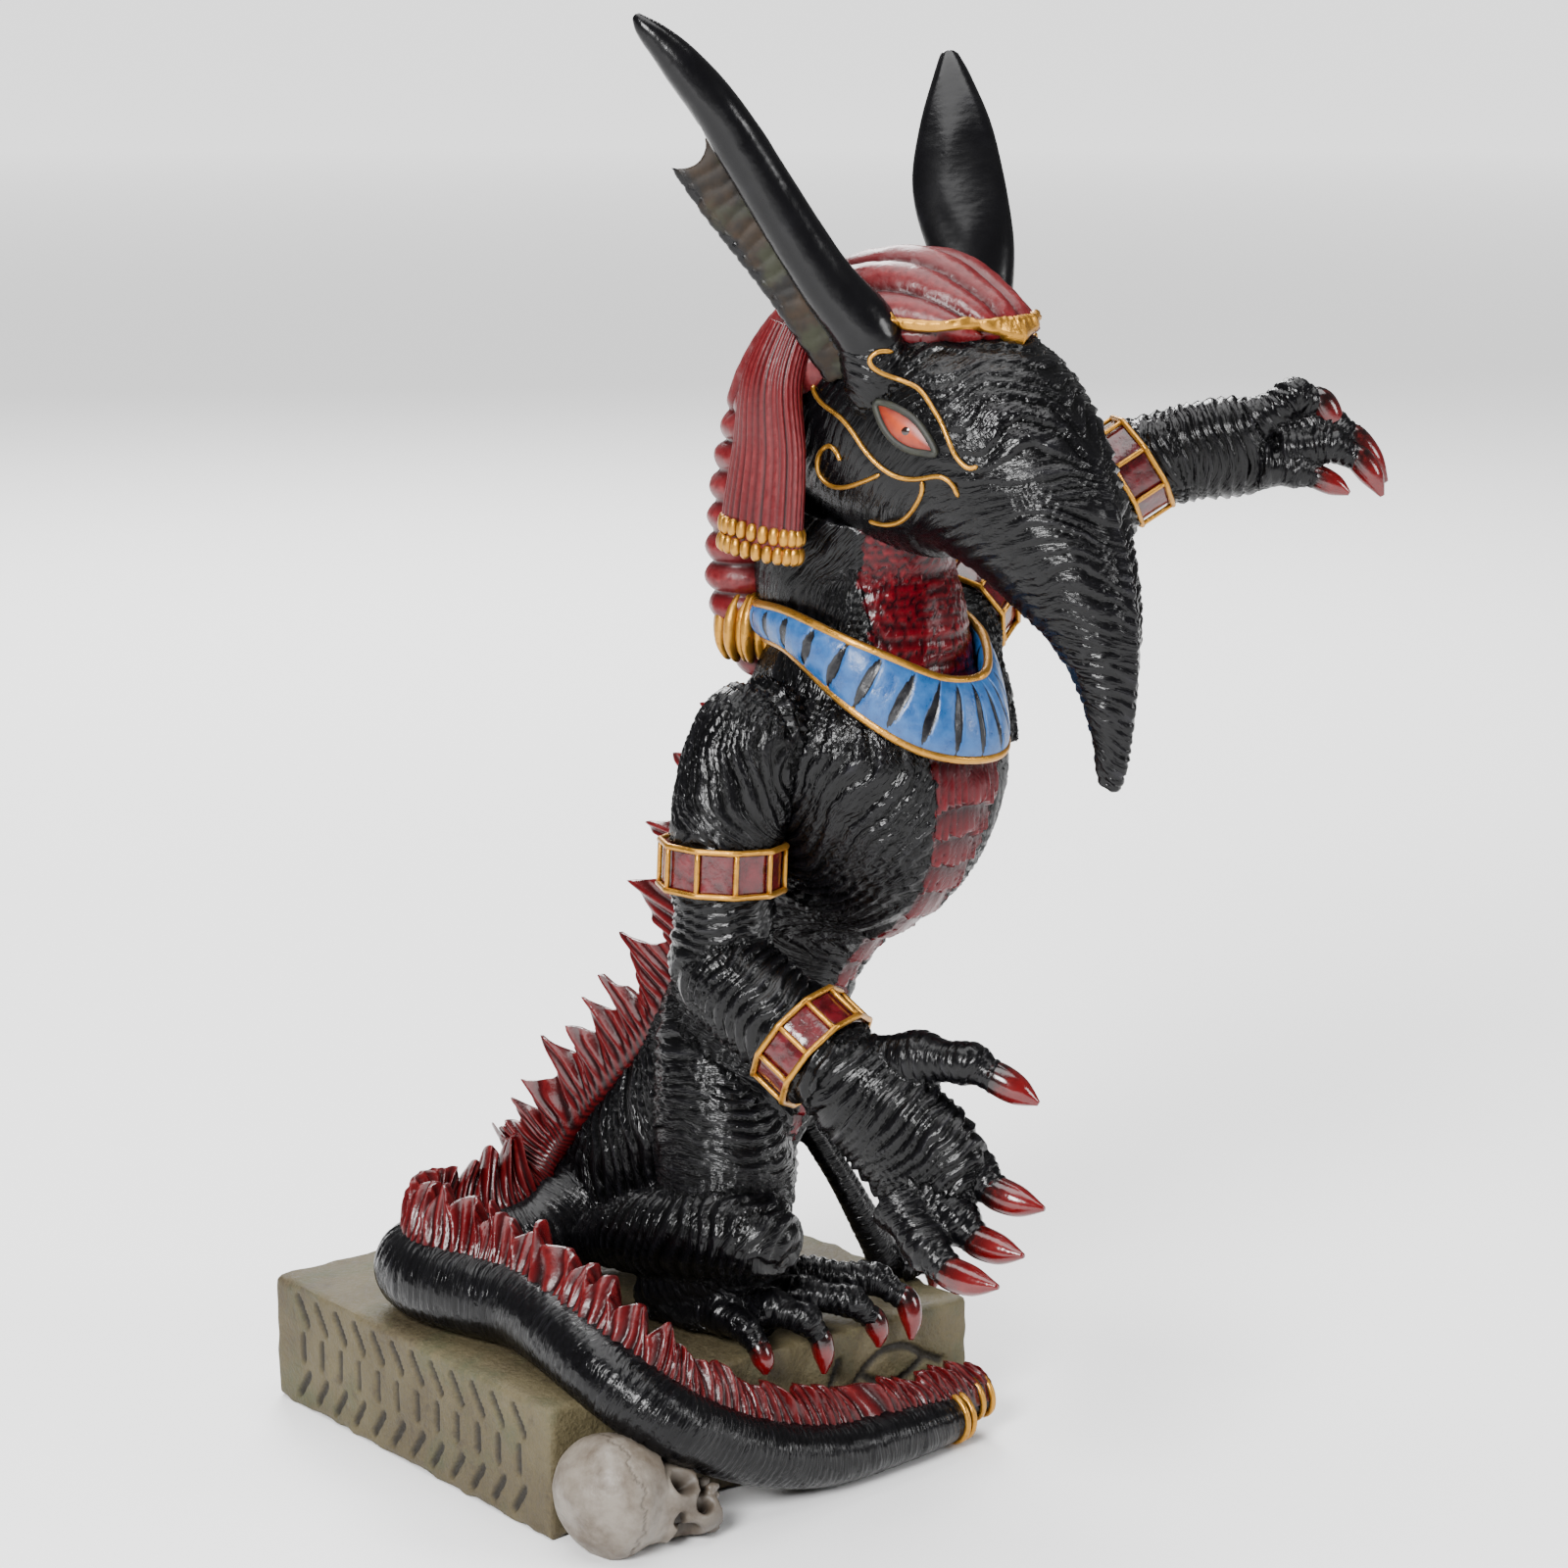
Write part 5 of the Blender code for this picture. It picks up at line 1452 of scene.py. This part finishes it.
def strokes_at(points):
    """How deep each point of the block is cut, and its lift for the wash."""
    x, y, z = points.T
    left = x < -PLINTH_WIDTH / 2 + CARVED_WITHIN
    front = y < -PLINTH_DEPTH / 2 + CARVED_WITHIN
    margin = PLINTH_DEPTH * 0.07
    pitch = (PLINTH_DEPTH - 2 * margin) / SIDE_STROKES
    tall = PLINTH_HEIGHT * 0.09
    along = PLINTH_DEPTH / 2 - y
    depth = np.zeros(len(points))
    for row, slant in enumerate(SIDE_ROW_SLANTS):
        level = PLINTH_HEIGHT * (0.2 + 0.6 * row / (len(SIDE_ROW_SLANTS) - 1))
        reach = pitch * slant
        for k in range(SIDE_STROKES):
            middle = margin + pitch * (k + 0.5)
            stroke = groove_at(along, z, (middle - reach, level - tall), (middle + reach, level + tall))
            depth = np.maximum(depth, left * stroke)
    for a, b in eye_segments():
        depth = np.maximum(depth, front * groove_at(x, z, a, b))
    return ramp(depth, 0.35, 0.9) * STROKE_DEPTH, 1 - depth * 0.95


def groove_at(x, z, a, b):
    """How far into a groove from a to b each place lies: 1 on its line, 0 outside."""
    run = (b[0] - a[0], b[1] - a[1])
    share = np.clip(((x - a[0]) * run[0] + (z - a[1]) * run[1]) / (run[0] ** 2 + run[1] ** 2), 0, 1)
    away = np.hypot(x - a[0] - share * run[0], z - a[1] - share * run[1])
    return 1 - ramp(away, STROKE_WIDTH * 0.3, STROKE_WIDTH * 1.25)


def eye_segments():
    """The eye motif's lines on the front face, as pairs of places across and up."""

    def spot(across, rise):
        return EYE_MIDDLE + EYE_HALF_WIDTH * across, PLINTH_HEIGHT * EYE_LEVEL + EYE_RISE * rise

    lines = [(spot(*a), spot(*b)) for a, b in EYE_TAILS]
    for lid in (1, -1):
        shares = [0.92 * (k / 4 - 1) for k in range(9)]
        arc = [spot(share, lid * (1 - share * share)) for share in shares]
        lines += zip(arc, arc[1:])
    return lines


def make_skull(made_of):
    """The skull on its side against the front face: sockets, nose, teeth, sutures and its broken cheek."""
    across = SKULL_FROM_CORNER - PLINTH_WIDTH / 2
    middle = Vector((across, -PLINTH_DEPTH / 2 - SKULL_OUT, SKULL_RADIUS * SKULL_RISE))
    place = Matrix.Translation(middle) @ Matrix.Scale(SKULL_RADIUS / SKULL_UNITS, 4)
    forms = [swept(stations, SAGITTAL, 10) for stations in (CRANIUM, CHEEKS, JAW)]
    for k in range(6):
        for x, y in ((12.7, -2.4), (12.4, -4.8)):
            z = -6 + 1.15 * k
            forms.append(swept([(x - 1, y, z, 0.5), (x, y, z, 0.62), (x + 0.9, y, z, 0.3)], SAGITTAL, 3, 10))
    skin, at = melted(forms, SKULL_VOXEL, 1)
    co = at.co
    lift = np.ones(len(co))
    moved = np.zeros(len(co))
    for x, y, z, radius, depth in SKULL_HOLLOWS:
        hollow = 1 - ramp(np.linalg.norm(co - [x, y, z], axis=1), radius * 0.45, radius)
        moved -= hollow * depth
        lift = np.minimum(lift, 1 - 0.95 * hollow)
    beside, above = co[:, 1], co[:, 2]
    bends = 0.8 * noise(beside * 0.9, above * 0.9, 0, 131) + 0.35 * noise(beside * 4, above * 4, 0, 132)
    line = (1 - ramp(np.abs(co[:, 0] + 1.5 + bends), 0.08, 0.3)) * (co[:, 0] < 2)
    moved -= line * 0.14
    lift = np.minimum(lift, 1 - 0.5 * line)
    moved += 0.1 * noise(*(co / 1.7).T, 133)
    points = co + at.normal * moved[:, None]
    points[:, 2] = np.maximum(points[:, 2], -SKULL_RISE * SKULL_UNITS)
    set_coordinates(skin, points)
    attribute(skin, "lift", np.clip(lift * (1 - 0.45 * ramp(co[:, 0], 3, 9)), 0, 1))
    piece("skull", skin, made_of, "plinth", place)


def make_stage():
    """A plain pale floor that glows with distance, the photograph's camera, and soft studio lights."""
    corners = [(-1, -1), (1, -1), (1, 1), (-1, 1)]
    mesh = bpy.data.meshes.new("floor")
    mesh.from_pydata([(FLOOR_HALF * x, FLOOR_HALF * y, 0) for x, y in corners], [], [(0, 1, 2, 3)])
    floor = linked("floor", mesh)
    paint = Paint("floor_paper", 0.8)
    away = paint.node("VectorMath", {0: paint.where})
    away.operation = "LENGTH"
    paint.put(paint.shader.inputs["Emission Color"], (1, 1, 1))
    glow = paint.between(away.outputs["Value"], GLOW_FROM, GLOW_TO, 0, GLOW)
    paint.put(paint.shader.inputs["Emission Strength"], glow)
    mesh.materials.append(paint.finish(PAPER))
    world = bpy.data.worlds.new("studio")
    bpy.context.scene.world = world
    world.use_nodes = True
    sky = world.node_tree.nodes["Background"]
    sky.inputs[0].default_value = (1, 1, 1, 1)
    sky.inputs[1].default_value = SKY
    for name, place, size, power, aim in LIGHTS:
        light = bpy.data.lights.new(name, "AREA")
        light.size = size
        light.energy = power
        lamp = linked(name, light)
        lamp.location = place
        lamp.rotation_euler = (Vector(aim) - Vector(place)).to_track_quat("-Z", "Y").to_euler()
    camera = linked("camera", bpy.data.cameras.new("camera"))
    place, across, up, look = camera_frame()
    camera.matrix_world = Matrix((
        (across.x, up.x, -look.x, place.x),
        (across.y, up.y, -look.y, place.y),
        (across.z, up.z, -look.z, place.z),
        (0, 0, 0, 1),
    ))
    camera.data.sensor_width = SENSOR
    camera.data.lens = CAMERA_FOCAL * SENSOR / IMAGE
    bpy.context.scene.camera = camera


def main():
    black = black_lacquer()
    ear = ear_lacquer()
    gold = brushed_gold()
    cloth = red_lacquer("red_cloth", CLOTH_RED, 0.34)
    jewel = jewel_red()
    make_body(body_lacquer())
    make_arm(
        "right_arm", black, RIGHT_ARM, LATERAL, RIGHT_PALM, RIGHT_PALM_SIDE, RIGHT_HAND_DIGITS, BANDS[:2], 141,
    )
    make_arm("left_arm", black, LEFT_ARM, UPWARDS, LEFT_PALM, UPWARDS, LEFT_HAND_DIGITS, BANDS[2:], 151)
    head = make_head(black)
    make_right_ear(ear)
    make_left_ear(ear)
    headdress = make_headdress(cloth)
    make_lappet("right_lappet", 1, cloth, gold)
    make_lappet("left_lappet", -1, cloth, gold)
    make_headband(head, headdress, gold)
    make_tassel(gold)
    make_collar(blue_enamel(), gold)
    for name, sides, band in zip(BAND_NAMES, BAND_SIDES, BANDS):
        make_band(name, sides, *band, gold, jewel)
    make_claws(claw_lacquer())
    make_crest(red_lacquer("crest_red", CREST_RED, 0.26))
    make_tail(black, gold)
    make_face(head, gold, eye_paint(), lid_paint(), pupil_paint())
    make_plinth(stone_paint())
    make_skull(bone_paint())
    make_stage()


main()
bpy.context.view_layer.update()
